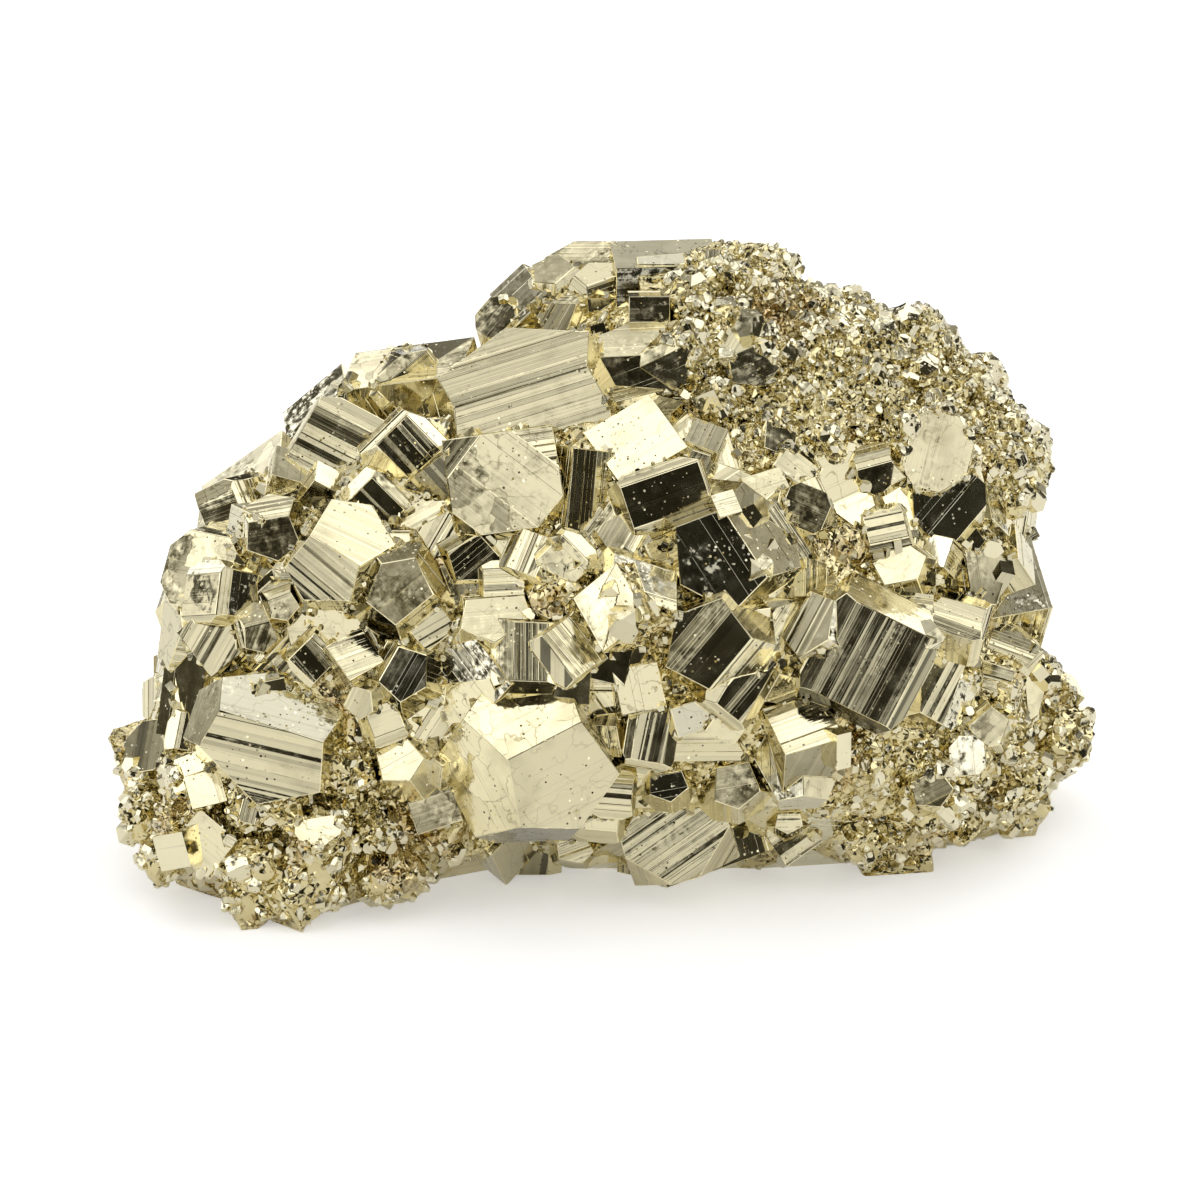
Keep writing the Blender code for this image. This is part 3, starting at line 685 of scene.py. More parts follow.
def cut_into_strips(outline, cuts):
    """Cuts a flat polygon, given by 2D points, along lines of constant y. Gives the points, the point
    numbers of each strip, and the chain of point numbers along each side, or None if it fails."""
    flat = bmesh.new()
    corners = []
    for point in outline:
        same = (corner for corner in corners if (corner.co.xy - Vector(point)).length < 1e-6)
        corners.append(next(same, None) or flat.verts.new((point[0], point[1], 0.0)))
    distinct = [corner for i, corner in enumerate(corners) if corner is not corners[i - 1]]
    if len(distinct) < 3 or len(set(distinct)) != len(distinct):
        flat.free()
        return None
    flat.faces.new(distinct)
    for cut in cuts:
        every = flat.verts[:] + flat.edges[:] + flat.faces[:]
        bmesh.ops.bisect_plane(flat, geom=every, dist=1e-5, plane_co=(0, cut, 0), plane_no=(0, 1, 0))
    flat.verts.index_update()
    after = {}
    for edge in flat.edges:
        if len(edge.link_loops) == 1:
            loop = edge.link_loops[0]
            after.setdefault(loop.vert.index, []).append(loop.link_loop_next.vert.index)
    result = None
    if all(len(following) == 1 for following in after.values()):
        chains = []
        for i, corner in enumerate(corners):
            end = corners[(i + 1) % len(corners)].index
            chain = [corner.index]
            while chain[-1] != end and len(chain) <= len(after):
                chain.append(after[chain[-1]][0])
            chains.append(chain)
        if sum(len(chain) - 1 for chain in chains) == len(after):
            points = [vertex.co.copy() for vertex in flat.verts]
            result = points, [[v.index for v in face.verts] for face in flat.faces], chains
    flat.free()
    return result

# %% [markdown]
# ## Going over the whole skin
#
# Every face is now treated in that way. The faces in the table get the finish that stands there, and the
# others one at random, drawn from a generator that depends on where the face lies, so that the specimen
# comes out the same each time. Faces too small to see stay as they are. The numbers of the new polygons
# are kept together with what the metal will need to know: 0 is a rim, -1 is massive pyrite, and any other
# number stands for a crystal face.

# %% All faces, rebuilt
class Facet(NamedTuple):
    """What the metal needs to know about one crystal face."""

    along: Vector
    normal: Vector
    tilt: Vector
    tone: float
    ruled: float
    cracked: float
    mottled: float


SMALL_FACE = 0.25  # mm2: below this a face stays as it is
RULED_FACE = 1.5  # mm2: above this it may be ruled
RULING_ODDS = 4, 1, 4, 2, 3  # of the rulings, in their order, for a face outside the table
FINE_LINES = {PLAIN: 0.3, CRACKED: 0.2, MOTTLED: 0.5, FINE: 1.0, BANDED: 0.8}
CRACKS = {PLAIN: 0.45, CRACKED: 1.0, MOTTLED: 0.45, FINE: 0.1, BANDED: 0.1}
CUT_CLEARANCE = 0.02  # mm between a cut and the end of the face
CRYSTAL_TONES = 0.86, 1.0
RIM_SHARES = 1.0, 0.4, 0.1  # of the full rim, tried in turn, for faces that are too narrow for it
PLAIN_FACET = Facet(Vector((1, 0, 0)), Vector((0, 0, 1)), Vector(), 1.0, 0.0, 0.0, 0.0)

places = []
for vertex in skin.verts:
    sink = sum((face.normal for face in vertex.link_faces), Vector())
    on_base = vertex.co.z < 0.01
    places.append(vertex.co if on_base else vertex.co - sink.normalized() * RIM_SINK)
polygons = []
facets = [PLAIN_FACET]
facet_of = []
strip_tone_and_painted_shade = {}
on_plates = set()  # numbers of the facets that lie on massive pyrite
crystal_of = {face: number for number, members in enumerate(crystals) for face in members}
rulings_used = defaultdict(int)

for face in skin.faces:
    ring = [vertex.index for vertex in face.verts]
    centre = face.calc_center_median()
    on_crystal = face in plates or (face not in not_crystal and face not in overgrown)
    if not on_crystal or face.calc_area() < SMALL_FACE:
        polygons.append(ring)
        facet_of.append(0 if on_crystal or face in base else -1)
        continue
    rng = seeded(centre)
    finish = finish_of.get(face.index)
    normal = face.normal.copy()
    along = groove_direction(face)
    crystal_tone_and_painted_shade = random.Random(crystal_of.get(face, 0)).uniform(*CRYSTAL_TONES)
    if finish:
        glow, ruling = finish.glow, finish.ruling
        if finish.angle is not None:
            along = direction_in_view(face, finish.angle)
        if ruling != BANDED:
            tilt = tilt_to(centre, normal, along, glow)
            # painted shade: a face that its tilt can't make dark enough gets a darker colour in place of its
            # crystal's random tone
            crystal_tone_and_painted_shade = painted_shade_for(centre, (normal + tilt).normalized(), glow)
    else:
        glow, tilt = None, Vector()
        ruled = face.calc_area() > RULED_FACE
        ruling = rng.choices(tuple(RULINGS), RULING_ODDS)[0] if ruled else PLAIN
    rulings_used[ruling] += 1
    across = normal.cross(along)
    outline = np.array([(vertex.co.dot(along), vertex.co.dot(across)) for vertex in face.verts])
    level = centre.dot(normal)
    insets = (inset(outline, RIM * share) for share in RIM_SHARES)
    drawn = next((found for found in insets if found is not None), None)
    pieces = None
    if drawn is not None:
        low, high = drawn[:, 1].min(), drawn[:, 1].max()
        knots = strip_profile(low, high, centre, normal, across, glow, ruling, rng)
        cuts = [knot[0] for knot in knots if low + CUT_CLEARANCE < knot[0] < high - CUT_CLEARANCE]
        pieces = cut_into_strips(drawn, cuts)
    number = len(facets)
    facets.append(Facet(along, normal, tilt, crystal_tone_and_painted_shade, FINE_LINES[ruling], CRACKS[ruling],
                        float(ruling == MOTTLED)))
    if face in plates:
        on_plates.add(number)
    if pieces is None:
        polygons.append(ring)
        facet_of.append(number)
        continue
    points, strips, chains = pieces
    start = len(places)
    knot_places = np.array(knots)
    for point in points:
        height = np.interp(point.y, knot_places[:, 0], knot_places[:, 1])
        places.append(along * point.x + across * point.y + normal * (level + height))
    for strip in strips:
        middle = sum(points[i].y for i in strip) / len(strip)
        strip_tone_and_painted_shade[len(polygons)] = np.interp(middle, knot_places[:, 0], knot_places[:, 2])
        polygons.append([start + i for i in strip])
        facet_of.append(number)
    for i, chain in enumerate(chains):
        polygons.append([ring[i], ring[(i + 1) % len(ring)]] + [start + j for j in reversed(chain)])
        facet_of.append(0)
print(dict(rulings_used), "faces;", len(polygons), "polygons")

# %% [markdown]
# ## The massive pyrite
#
# Between the crystals the solid shows flat facets of the mass that they grew from. On the real thing
# this is crumbly, so those facets are cut finer, their corners are worn away by smoothing, and every new
# point is pushed in or out by a noise. Sculpting could do it too, but a noise needs no hand. The points
# on the seams with the crystals stay put, which keeps the skin closed.

# %% The finished skin
CRUMB_LENGTH = 1.3
CRUMB_HEIGHT = 0.35
CRUMB_NOISE = 0.6, 2.1, 3  # how its layers fade, how much finer each one is, and how many there are
CRUMB_EDGE = 1.3  # edges of massive pyrite longer than this are halved
HALVINGS = 4
WORN = 3  # rounds of smoothing

mesh = bpy.data.meshes.new("crystals")
mesh.from_pydata([place * MM for place in places], [], polygons)
shape = bmesh.new()
shape.from_mesh(mesh)
shape.faces.ensure_lookup_table()
facet_layer = shape.faces.layers.int.new("facet")
shade_layer = shape.faces.layers.float.new("shade")
for i, (face, number) in enumerate(zip(shape.faces, facet_of)):
    face[facet_layer] = number
    face[shade_layer] = strip_tone_and_painted_shade.get(i, 1.0)


def within_mass(parts):
    """Those vertices or edges that touch no face but the massive pyrite's."""
    return [part for part in parts if all(face[facet_layer] == -1 for face in part.link_faces)]


bmesh.ops.triangulate(shape, faces=[face for face in shape.faces if face[facet_layer] == -1])
for _ in range(HALVINGS):
    long_edges = [edge for edge in within_mass(shape.edges) if edge.calc_length() > CRUMB_EDGE * MM]
    bmesh.ops.subdivide_edges(shape, edges=long_edges, cuts=1)
    bmesh.ops.triangulate(shape, faces=[face for face in shape.faces
                                        if face[facet_layer] == -1 and len(face.verts) > 3])
loose = within_mass(shape.verts)
for _ in range(WORN):
    bmesh.ops.smooth_vert(shape, verts=loose, factor=0.5,
                          use_axis_x=True, use_axis_y=True, use_axis_z=True)
shape.normal_update()
for vertex in loose:
    bump = noise.fractal(vertex.co / MM / CRUMB_LENGTH, *CRUMB_NOISE) * CRUMB_HEIGHT
    vertex.co += vertex.normal * (bump * MM)
shape.to_mesh(mesh)
shape.free()

# %% [markdown]
# ## Leaving word for the metal
#
# A material can't ask Python anything, so what it has to know about a face is stored on the mesh: the
# place of each corner measured along and across the grooves, the tilt towards the light, the tone with
# its painted shade, and how far the face is ruled, cracked, mottled or massive.

# %% What the metal reads off each face
GROOVE_SHIFT = 3.7  # sets the patterns of neighbouring faces apart

facet_numbers = np.empty(len(mesh.polygons), np.int32)
mesh.attributes["facet"].data.foreach_get("value", facet_numbers)
is_massive = facet_numbers < 0
facet_numbers = np.maximum(facet_numbers, 0)
along_of = np.array([facet.along for facet in facets])
normal_of = np.array([facet.normal for facet in facets])
across_of = np.cross(normal_of, along_of)

corner_face = np.repeat(np.arange(len(mesh.polygons)), [p.loop_total for p in mesh.polygons])
corner_vertex = np.empty(len(mesh.loops), np.int32)
mesh.loops.foreach_get("vertex_index", corner_vertex)
vertex_places = np.empty(len(mesh.vertices) * 3, np.float32)
mesh.vertices.foreach_get("co", vertex_places)
corner_places = vertex_places.reshape(-1, 3)[corner_vertex] / MM
corner_facet = facet_numbers[corner_face]
groove_places = np.stack([(corner_places * along_of[corner_facet]).sum(axis=1),
                          (corner_places * across_of[corner_facet]).sum(axis=1),
                          corner_facet * GROOVE_SHIFT], axis=1)


def write_attribute(mesh, name, kind, domain, values):
    """Stores one value, or one vector, for each corner, face or point of a mesh."""
    layer = mesh.attributes.new(name, kind, domain)
    key = "vector" if kind == "FLOAT_VECTOR" else "value"
    layer.data.foreach_set(key, np.ascontiguousarray(values, np.float32).ravel())


write_attribute(mesh, "groove_place", "FLOAT_VECTOR", "CORNER", groove_places)
tilt_of = np.array([facet.tilt for facet in facets])
write_attribute(mesh, "tilt", "FLOAT_VECTOR", "FACE", tilt_of[facet_numbers])
shades = np.empty(len(mesh.polygons), np.float32)
mesh.attributes["shade"].data.foreach_get("value", shades)
for name in ("tone", "ruled", "cracked", "mottled"):
    values = np.array([getattr(facet, name) for facet in facets])[facet_numbers]
    values = values * shades if name == "tone" else values
    write_attribute(mesh, name, "FLOAT", "FACE", values)
write_attribute(mesh, "massive", "FLOAT", "FACE", is_massive.astype(float))
for name in ("facet", "shade"):
    mesh.attributes.remove(mesh.attributes[name])
print(len(mesh.polygons), "polygons,", sum(p.loop_total - 2 for p in mesh.polygons), "triangles")

# %% [markdown]
# ## The metal
#
# Pyrite is a pale brass yellow and fully metallic. One material serves the whole specimen. It adds the
# tilt of each face to the surface normal, rules the faces with grooves too fine to model, breaks the
# cracked ones into a mosaic of patches, crumples the massive pyrite, and strews specks that glint each
# its own way. The colour is brass, more golden where it is massive, with stains of tarnish and, on the
# massive pyrite, of rust. Where a face is mottled it is more silvery, a painted reflection tint that
# stands in for the cool light such faces mirror. The stored tone varies the colour at random and holds
# painted shade on faces and bands that should look darker than the part of the tent they mirror. Most
# of the deep gold between the crystals isn't painted: light that has bounced from pyrite to pyrite
# turns that colour by itself. An image could carry the colours too, but it would have to be wrapped
# around every crystal.

# %% Pyrite
BRASS = (0.90, 0.82, 0.54, 1.0)
SILVERY_REFLECTION_TINT = (0.87, 0.82, 0.62, 1.0)
TARNISH = (0.48, 0.42, 0.25, 1.0)
RUST = (0.52, 0.32, 0.15, 1.0)
GOLD = (0.70, 0.61, 0.34, 1.0)

pyrite = bpy.data.materials.new("pyrite")
pyrite.use_nodes = True
metal = pyrite.node_tree
metal.nodes.clear()


def attribute(name, output="Fac"):
    """What was stored on the mesh under a name."""
    return add(metal, "ShaderNodeAttribute", attribute_name=name).outputs[output]


def stretched_noise(place, scale, detail):
    """Noise at a place that is first scaled by a vector."""
    scaled = vector_sum(metal, "MULTIPLY", place, scale)
    return add(metal, "ShaderNodeTexNoise", {"Vector": scaled, "Scale": 1.0, "Detail": detail,
                                             "Roughness": 0.55}).outputs["Fac"]


def patchy(scale, detail):
    """Noise all over the specimen, with patches of about 1 / scale mm."""
    return stretched_noise(millimetres, (scale, scale, scale), detail)


def mixed(factor, first, second):
    """One colour where the factor is 0, the other where it is 1."""
    inputs = {0: factor, 6: first, 7: second}
    return add(metal, "ShaderNodeMix", inputs, data_type="RGBA").outputs[2]


def threshold(value, low, high, start=0.0, end=1.0):
    """A ramp: start where the value is low, end where it is high."""
    ramp = add(metal, "ShaderNodeMapRange", {"Value": value, "From Min": low, "From Max": high,
                                             "To Min": start, "To Max": end})
    return ramp.outputs[0]


millimetres = vector_sum(metal, "SCALE", add(metal, "ShaderNodeTexCoord").outputs["Object"], 1.0 / MM)
groove_place = attribute("groove_place", "Vector")
STORED = ("ruled", "cracked", "mottled", "tone", "massive")
ruled, cracked, mottled, tone, mass = (attribute(name) for name in STORED)
MID_GREY = (0.5, 0.5, 0.5)


def random_tilt(colour, amount):
    """A small tilt of the surface, read off a colour texture."""
    return vector_sum(metal, "SCALE", vector_sum(metal, "SUBTRACT", colour, MID_GREY), amount)


# Grooves too fine to model, on the faces that are ruled.
fine = stretched_noise(groove_place, (0.05, 2.6, 1.0), 3.0)
broad = stretched_noise(groove_place, (0.02, 0.7, 1.0), 1.0)
grooves = calculate(metal, "MULTIPLY", calculate(metal, "ADD", fine, broad), ruled)
waves = patchy(0.22, 0.0)

# Crooked cells: the cracked faces break into them, each very slightly out of true.
bend = add(metal, "ShaderNodeTexNoise", {"Vector": millimetres, "Scale": 0.45, "Detail": 2.0})
bent = vector_sum(metal, "ADD", millimetres, random_tilt(bend.outputs["Color"], 3.2))
patches = add(metal, "ShaderNodeTexVoronoi", {"Vector": bent, "Scale": 0.36})
patch_tilt = random_tilt(patches.outputs["Color"], calculate(metal, "MULTIPLY", cracked, 0.04))
crack_lines = add(metal, "ShaderNodeTexVoronoi", {"Vector": bent, "Scale": 0.36},
                  feature="DISTANCE_TO_EDGE").outputs["Distance"]
crack_depth = calculate(metal, "MULTIPLY", threshold(crack_lines, 0.0, 0.035, 1.0, 0.0), cracked)
crack_depth = calculate(metal, "MULTIPLY", crack_depth, threshold(bend.outputs["Fac"], 0.42, 0.52))

# Mottling: patches where the surface is uneven, like orange peel.
peel = add(metal, "ShaderNodeTexNoise", {"Vector": millimetres, "Scale": 1.3, "Detail": 4.0,
                                         "Roughness": 0.62})
uneven = threshold(patchy(0.24, 2.0), 0.44, 0.58, 0.04, 0.32)
uneven = calculate(metal, "MULTIPLY", uneven, threshold(mottled, 0.0, 1.0, 0.5, 1.7))
mottle = random_tilt(peel.outputs["Color"], uneven)

# Specks: tiny crystals and pits scattered on the faces, each glinting its own way.
specks = add(metal, "ShaderNodeTexVoronoi", {"Vector": millimetres, "Scale": 1.8})
speck_size = threshold(patchy(0.3, 0.0), 0.38, 0.62, 0.0, 0.22)
speck = calculate(metal, "LESS_THAN", specks.outputs["Distance"], speck_size)
glint = random_tilt(specks.outputs["Color"], calculate(metal, "MULTIPLY", speck, 1.3))

# Massive pyrite is wavy, and here and there a mass of grains that are out every way.
grains_seen = add(metal, "ShaderNodeTexVoronoi", {"Vector": bent, "Scale": 1.7})
grainy = threshold(patchy(0.12, 0.0), 0.46, 0.54, 0.35, 1.3)
crumbly = random_tilt(grains_seen.outputs["Color"], calculate(metal, "MULTIPLY", mass, grainy))
folds = add(metal, "ShaderNodeTexNoise", {"Vector": bent, "Scale": 0.7, "Detail": 1.0})
crumbly = vector_sum(metal, "ADD", crumbly, random_tilt(folds.outputs["Color"], mass))

normal = add(metal, "ShaderNodeNewGeometry").outputs["Normal"]
for turn in (attribute("tilt", "Vector"), patch_tilt, mottle, glint, crumbly):
    normal = vector_sum(metal, "ADD", normal, turn)
normal = vector_sum(metal, "NORMALIZE", normal)
height = calculate(metal, "MULTIPLY", grooves, 0.020)
height = calculate(metal, "MULTIPLY_ADD", waves, 0.035, height)
bump = add(metal, "ShaderNodeBump", {"Strength": 1.0, "Distance": MM, "Height": height, "Normal": normal})

stain = threshold(patchy(0.16, 3.0), 0.54, 0.74)
stain = calculate(metal, "MULTIPLY_ADD", stain, 0.55, calculate(metal, "MULTIPLY", crack_depth, 0.9))
# painted reflection: mottled faces get a more silvery colour that stands in for the cool light they mirror
on_crystals = mixed(stain, mixed(mottled, BRASS, SILVERY_REFLECTION_TINT), TARNISH)
colour = mixed(mass, on_crystals, mixed(stain, GOLD, RUST))
# painted shade: the stored tone, random from face to face and strip to strip but darkened on faces and bands
# that mirror too bright a part of the tent, scales the colour; it is also a little darker along the fine
# groove lines
shade = calculate(metal, "MULTIPLY", tone, threshold(fine, 0.30, 0.42, 0.80, 1.0))
colour = vector_sum(metal, "SCALE", colour, shade)
roughness = threshold(patchy(0.5, 1.0), 0.35, 0.7, 0.05, 0.15)
shader = add(metal, "ShaderNodeBsdfPrincipled", {"Base Color": colour, "Roughness": roughness,
                                                 "Normal": bump.outputs[0], "Metallic": 1.0})
add(metal, "ShaderNodeOutputMaterial", {0: shader.outputs[0]})

mesh.materials.clear()
mesh.materials.append(pyrite)
crystal_skin = bpy.data.objects.new("crystals", mesh)
bpy.context.scene.collection.objects.link(crystal_skin)
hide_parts(NODE)
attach(crystal_skin, "root")

# %% [markdown]
# ## Shapes for the small crystals
#
# Several thousand small crystals and grains are still missing, so their shapes have to be light. Each is
# the hull of the points where its faces meet: a cube, a cube with its corners cut, a pyritohedron, a
# long cube, and a crooked one that has grown faster on some sides. The druse gets five crooked shapes of
# its own, with bent faces, because its crystals crowd one another. Cutting a cube with planes would give
# the same shapes, only more slowly.

# %% Small shapes
RULED_HULL = 1.2  # how far every other face of a small crystal is ruled
HULL_MOTTLED = 0.3  # and how mottled all of them are
HULL_MASSIVE = 0.3  # how much of the mass's gold and crumpling bent faces have
CUBE_FACES = [Vector(v) for v in ((0, 0, 1), (0, 0, -1), (1, 0, 0), (-1, 0, 0), (0, 1, 0), (0, -1, 0))]
CORNER_FACES = [Vector((i, j, k)).normalized() for i in (1, -1) for j in (1, -1) for k in (1, -1)]
PYRITOHEDRON_FACES = [Vector(v).normalized() for i in (1, -1) for j in (1, -1)
                      for v in ((0, -i, 2 * j), (2 * i, 0, j), (i, 2 * j, 0))]


def hull_of(name, faces, collection, bent_faces=0.0):
    """Adds to the collection a closed shape with the given flat faces: (normal, distance) pairs.
    Bent faces go from 0, flat and bright, to 1, as crumpled as foil."""
    normals = np.array([face[0] for face in faces])
    distances = np.array([face[1] for face in faces])
    hull = bmesh.new()
    for i in range(len(faces)):
        for j in range(i + 1, len(faces)):
            for k in range(j + 1, len(faces)):
                three = [i, j, k]
                if abs(np.linalg.det(normals[three])) < 1e-3:
                    continue
                point = np.linalg.solve(normals[three], distances[three])
                if (normals @ point <= distances + 1e-6).all():
                    hull.verts.new(point * MM)
    bmesh.ops.remove_doubles(hull, verts=hull.verts, dist=0.01 * MM)
    made = bmesh.ops.convex_hull(hull, input=hull.verts)
    bmesh.ops.delete(hull, geom=made["geom_interior"], context="VERTS")
    bmesh.ops.dissolve_limit(hull, angle_limit=COPLANAR, verts=hull.verts, edges=hull.edges)
    bmesh.ops.recalc_face_normals(hull, faces=hull.faces)
    ruling_places = []
    for number, face in enumerate(hull.faces):
        longest = max(face.edges, key=lambda edge: edge.calc_length())
        along = (longest.verts[1].co - longest.verts[0].co).normalized()
        across = face.normal.cross(along)
        ruling_places += [(loop.vert.co.dot(along) / MM, loop.vert.co.dot(across) / MM, number * GROOVE_SHIFT)
                          for loop in face.loops]
    hull_mesh = bpy.data.meshes.new(name)
    hull.to_mesh(hull_mesh)
    write_attribute(hull_mesh, "groove_place", "FLOAT_VECTOR", "CORNER", ruling_places)
    count = len(hull.faces)
    for label, values in {"ruled": [RULED_HULL * (number % 2) for number in range(count)],
                          "mottled": [HULL_MOTTLED + (1.0 - HULL_MOTTLED) * bent_faces] * count,
                          "massive": [HULL_MASSIVE * bent_faces] * count}.items():
        write_attribute(hull_mesh, label, "FLOAT", "FACE", values)
    print(name, "has", count, "faces")
    hull.free()
    collection.objects.link(bpy.data.objects.new(name, hull_mesh))


shapes = bpy.data.collections.new("small shapes")
druse_shapes = bpy.data.collections.new("druse shapes")
crooked = random.Random(5)
cube = [(face, 1.0) for face in CUBE_FACES]
hull_of("cube", cube, shapes)
hull_of("cornered_cube", cube + [(face, 1.3) for face in CORNER_FACES], shapes)
hull_of("pyritohedron", [(face, 1.1) for face in PYRITOHEDRON_FACES], shapes)
hull_of("long_cube", [(face, 1.0 + 0.6 * abs(face.x) - 0.25 * abs(face.y)) for face in CUBE_FACES], shapes)
for number in range(6):
    hull_of(f"crooked_{number}", [(face, crooked.uniform(0.6, 1.35)) for face in CUBE_FACES]
            + [(face, crooked.uniform(0.75, 1.25)) for face in CORNER_FACES],
            *((druse_shapes, 1.0) if number else (shapes, 0.0)))

# %% [markdown]
# ## Growing them with Geometry Nodes
#
# One tree serves every round of small crystals. It strews points over the bed that it is given, keeps
# them a set spacing apart, sets one of the shapes on each, turned at random, and sizes it between the
# smallest and the largest, with many small ones and few large ones. None may reach the floor or stand up
# above the top. A second tree does the same along the seams where crystals meet: it turns the seam's
# edges into curves and places a point every so often. Both end in real geometry with the metal on it.
# A loop in Python could place them too, but a tree is quicker, and its numbers can be tried out live.

# %% The two trees
def tree_with_inputs(name, sockets):
    """An empty Geometry Nodes tree with the named inputs. Gives the tree and its Group Input node."""
    tree = bpy.data.node_groups.new(name, "GeometryNodeTree")
    tree.interface.new_socket("Geometry", in_out="INPUT", socket_type="NodeSocketGeometry")
    for label, kind in sockets:
        tree.interface.new_socket(label, in_out="INPUT", socket_type="NodeSocket" + kind)
    tree.interface.new_socket("Geometry", in_out="OUTPUT", socket_type="NodeSocketGeometry")
    return tree, tree.nodes.new("NodeGroupInput")


def random_between(tree, low, high, seed, kind="FLOAT"):
    """A Random Value node's result."""
    made = add(tree, "FunctionNodeRandomValue", data_type=kind)
    ports = {"FLOAT": (2, 3, 1), "FLOAT_VECTOR": (0, 1, 0), "INT": (4, 5, 2)}[kind]
    for port, value in ((ports[0], low), (ports[1], high), (8, seed)):
        if isinstance(value, bpy.types.NodeSocket):
            tree.links.new(value, made.inputs[port])
        else:
            made.inputs[port].default_value = value
    return made.outputs[ports[2]]


def stored(tree, name):
    """A number that the bed carries under this name."""
    return add(tree, "GeometryNodeInputNamedAttribute", {0: name}, data_type="FLOAT").outputs[0]


ROOM = 0.48  # a crystal may be this share of its distance from the floor and from the top
HIGHEST = 60.3  # mm: no crystal reaches above this
MOST_POINTS = 3e6  # per square metre, before those that are too close are taken out
JITTER = 0.35  # how far a crystal is off the seam, as a share of the spacing


def set_crystals(tree, given, points):
    """The end of both trees: crystals on the points, made real, with the metal on them."""
    share = random_between(tree, 0.0, 1.0, given.outputs["Seed"])
    share = calculate(tree, "POWER", share, given.outputs["Skew"])
    size = add(tree, "ShaderNodeMapRange", {"Value": share, "To Min": given.outputs["Smallest"],
                                            "To Max": given.outputs["Largest"]}).outputs[0]
    size = calculate(tree, "MULTIPLY", size, stored(tree, "growth"))
    position = add(tree, "GeometryNodeInputPosition").outputs[0]
    height = add(tree, "ShaderNodeSeparateXYZ", {0: position}).outputs[2]
    above_floor = calculate(tree, "MULTIPLY", height, ROOM / MM)
    below_top = calculate(tree, "MULTIPLY_ADD", height, -ROOM / MM, ROOM * HIGHEST)
    size = calculate(tree, "MINIMUM", size, calculate(tree, "MINIMUM", above_floor, below_top))
    seeds = [calculate(tree, "ADD", given.outputs["Seed"], further) for further in (1.0, 2.0, 3.0)]
    turn = random_between(tree, (0.0, 0.0, 0.0), (math.tau, math.tau, math.tau), seeds[0], "FLOAT_VECTOR")
    kinds = add(tree, "GeometryNodeCollectionInfo", {0: given.outputs["Shapes"], 1: True, 2: True})
    which = random_between(tree, 0, 4, seeds[1], "INT")
    set_on = add(tree, "GeometryNodeInstanceOnPoints", {0: points, 2: kinds.outputs[0], 3: True, 4: which,
                                                        5: turn, 6: size})
    tone = random_between(tree, given.outputs["Darkest"], 1.0, seeds[2])
    toned = add(tree, "GeometryNodeStoreNamedAttribute", {0: set_on.outputs[0], 2: "tone", 3: tone},
                data_type="FLOAT", domain="INSTANCE")
    real = add(tree, "GeometryNodeRealizeInstances", {0: toned.outputs[0]})
    coated = add(tree, "GeometryNodeSetMaterial", {0: real.outputs[0], 2: given.outputs["Material"]})
    add(tree, "NodeGroupOutput", {0: coated.outputs[0]})


COMMON = [(name, "Float") for name in ("Smallest", "Largest", "Skew", "Spacing", "Darkest")]
COMMON += [("Seed", "Int"), ("Shapes", "Collection"), ("Material", "Material")]
on_faces, given = tree_with_inputs("crystals on faces", COMMON)
strewn = add(on_faces, "GeometryNodeDistributePointsOnFaces",
             {"Mesh": given.outputs[0], "Distance Min": given.outputs["Spacing"],
              "Density Max": MOST_POINTS, "Density Factor": stored(on_faces, "cover"),
              "Seed": given.outputs["Seed"]}, distribute_method="POISSON")
set_crystals(on_faces, given, strewn.outputs["Points"])

along_seams, given = tree_with_inputs("crystals along seams", COMMON)
curves = add(along_seams, "GeometryNodeMeshToCurve", {0: given.outputs[0]})
steps = add(along_seams, "GeometryNodeResampleCurve", {0: curves.outputs[0], 3: given.outputs["Spacing"]},
            mode="LENGTH")
beads = add(along_seams, "GeometryNodeCurveToPoints", {0: steps.outputs[0]}, mode="EVALUATED")
jitter = calculate(along_seams, "MULTIPLY", given.outputs["Spacing"], JITTER)
lowest, highest = (vector_sum(along_seams, "SCALE", (end, end, end), jitter) for end in (-1.0, 1.0))
shift = random_between(along_seams, lowest, highest, given.outputs["Seed"], "FLOAT_VECTOR")
moved = add(along_seams, "GeometryNodeSetPosition", {0: beads.outputs[0], 3: shift})
chance = random_between(along_seams, 0.0, 1.0, 77)
dropped = add(along_seams, "FunctionNodeCompare", {0: chance, 1: stored(along_seams, "cover")},
              data_type="FLOAT", operation="GREATER_THAN")
thinned = add(along_seams, "GeometryNodeDeleteGeometry", {0: moved.outputs[0], 1: dropped.outputs[0]})
set_crystals(along_seams, given, thinned.outputs[0])


def grow(name, bed, tree, **sizes):
    """Runs a tree on a bed mesh, and keeps the crystals as one piece of plain mesh."""
    grower = bpy.data.objects.new(name + "_bed", bed)
    bpy.context.scene.collection.objects.link(grower)
    modifier = grower.modifiers.new("grow", "NODES")
    modifier.node_group = tree
    wanted = {"Shapes": druse_shapes if "druse" in bed.name else shapes, "Material": pyrite,
              "Darkest": 0.62, **sizes}
    for item in tree.interface.items_tree:
        if item.in_out == "INPUT" and item.name in wanted:
            modifier[item.identifier] = wanted[item.name]
    grower.update_tag()
    graph = bpy.context.evaluated_depsgraph_get()
    grown = bpy.data.meshes.new_from_object(grower.evaluated_get(graph))
    bpy.data.objects.remove(grower)
    grown.name = name
    piece = bpy.data.objects.new(name, grown)
    bpy.context.scene.collection.objects.link(piece)
    print(name, "has", sum(p.loop_total - 2 for p in grown.polygons), "triangles")
    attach(piece, "root")

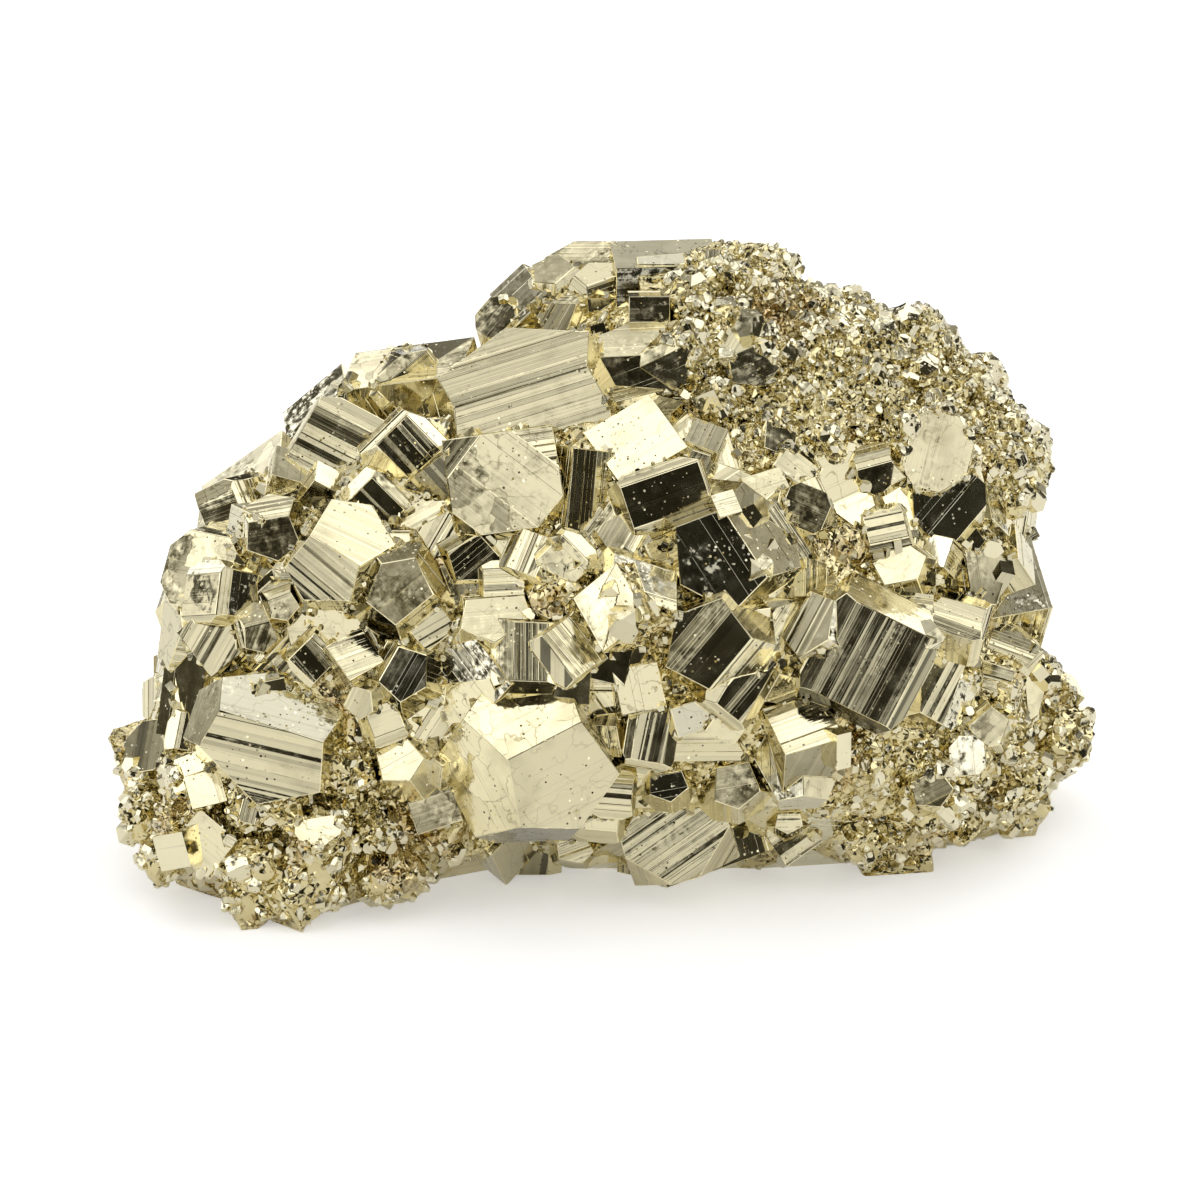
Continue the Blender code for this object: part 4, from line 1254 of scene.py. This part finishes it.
# %% [markdown]
# ## Beds for them to grow on
#
# There are five rounds: small crystals and crumbs on the massive pyrite, larger and finer crystals in the
# druse, and grains along the seams, which are the inward edges of the solid. Each bed is a piece of the
# finished skin, pushed in a little so that the crystals stand rooted. It carries two numbers: cover, how
# thickly it is strewn, and growth, which scales the crystals and keeps them small near a seam, so that
# they don't hide the large faces beside it.

# %% Small crystals and grains
def bed_of(name, places, edges, faces, cover, growth):
    """A mesh with the two numbers that the trees read."""
    bed = bpy.data.meshes.new(name)
    bed.from_pydata(places, edges, faces)
    write_attribute(bed, "cover", "FLOAT", "POINT", cover)
    write_attribute(bed, "growth", "FLOAT", "POINT", growth)
    return bed


all_places = vertex_places.reshape(-1, 3)
corners_of = [tuple(p.vertices) for p in mesh.polygons]
middles = np.array([all_places[list(corners)].mean(axis=0) for corners in corners_of]) / MM
normals = np.array([p.normal for p in mesh.polygons])
fine_druse = np.array([bare and in_druse(Vector(place), Vector(normal))
                       for bare, place, normal in zip(is_massive, middles, normals)])

SEAM_ANGLE = -15.0  # degrees: an inward edge sharper than this is a seam
FOOT_HEIGHT = 17.0  # mm: below it the massive pyrite shows between the grains
FOOT_COVER = 0.5
CLUMP_LENGTH = 7.0  # seam crystals come in clumps of about this size
CLUMP_COVER = 0.50
CLUMP_SPREAD = 1.3
CLUMP_HEIGHTS = 0.8, 58.0  # mm: none at the very foot or on the crest

seams = [edge for edge in skin.edges if len(edge.link_faces) == 2 and not base.intersection(edge.link_faces)
         and not overgrown.issuperset(edge.link_faces)
         and math.degrees(edge.calc_face_angle_signed(0.0)) < SEAM_ANGLE]
beside = [edge.verts[0].co.lerp(edge.verts[1].co, share) for edge in seams
          for share in (0.0, 0.25, 0.5, 0.75, 1.0)]
seam_finder = KDTree(len(beside))
for number, place in enumerate(beside):
    seam_finder.insert(place, number)
seam_finder.balance()


def bed_on(name, chosen, sunk, room):
    """The chosen faces of the skin as a bed of their own, pushed in by a distance in mm.
    Room is the distance from a seam at which crystals reach their full size."""
    numbers = np.flatnonzero(chosen)
    used = sorted({i for number in numbers for i in corners_of[number]})
    renumber = {old: new for new, old in enumerate(used)}
    inward = np.zeros((len(used), 3))
    for number in numbers:
        for i in corners_of[number]:
            inward[renumber[i]] += normals[number]
    inward /= np.maximum(np.linalg.norm(inward, axis=1), 1e-6)[:, None]
    clear = np.array([seam_finder.find(Vector(all_places[i]) / MM)[2] for i in used])
    growth = np.clip(clear / room, 0.3, 1.0)
    bed_places = all_places[used] - inward * (sunk * MM) * growth[:, None]
    polygons = [[renumber[i] for i in corners_of[number]] for number in numbers]
    cover = np.where(all_places[used][:, 2] > FOOT_HEIGHT * MM, 1.0, FOOT_COVER)
    return bed_of(name, bed_places, [], polygons, cover, growth)


smooth = np.array([number in on_plates and not in_circles(Vector(place), PLATES)
                   for number, place in zip(facet_numbers, middles)]) & ~is_massive
grow("small_crystals", bed_on("bare mass", (is_massive | smooth) & ~fine_druse, 0.9, 2.4), on_faces,
     Smallest=0.6, Largest=1.8, Skew=1.3, Spacing=2.6 * MM, Seed=11)
grow("crumbs", bed_on("crumb bed", is_massive & ~fine_druse, 0.1, 1.0), on_faces,
     Smallest=0.14, Largest=0.5, Skew=2.2, Spacing=1.35 * MM, Seed=21)
grow("druse_crystals", bed_on("druse", fine_druse, 0.25, 1.5), on_faces,
     Smallest=0.45, Largest=1.25, Skew=1.5, Spacing=1.5 * MM, Darkest=0.9, Seed=51)
grow("grains", bed_on("fine druse", fine_druse, 0.05, 0.8), on_faces,
     Smallest=0.22, Largest=0.72, Skew=1.3, Spacing=0.76 * MM, Darkest=0.9, Seed=61)

seam_vertices = sorted({vertex.index for edge in seams for vertex in edge.verts})
renumber = {old: new for new, old in enumerate(seam_vertices)}
seam_places = [Vector(places[i]) * MM for i in seam_vertices]
seam_edges = [[renumber[vertex.index] for vertex in edge.verts] for edge in seams]
lowest, highest = CLUMP_HEIGHTS
clumps = [CLUMP_COVER + CLUMP_SPREAD * noise.noise(place / (CLUMP_LENGTH * MM))
          if lowest * MM < place.z < highest * MM else 0.0 for place in seam_places]
seam_bed = bed_of("seams", seam_places, seam_edges, [], clumps, np.ones(len(seam_places)))
grow("seam_crystals", seam_bed, along_seams,
     Smallest=0.13, Largest=0.55, Skew=2.6, Spacing=0.8 * MM, Seed=31)
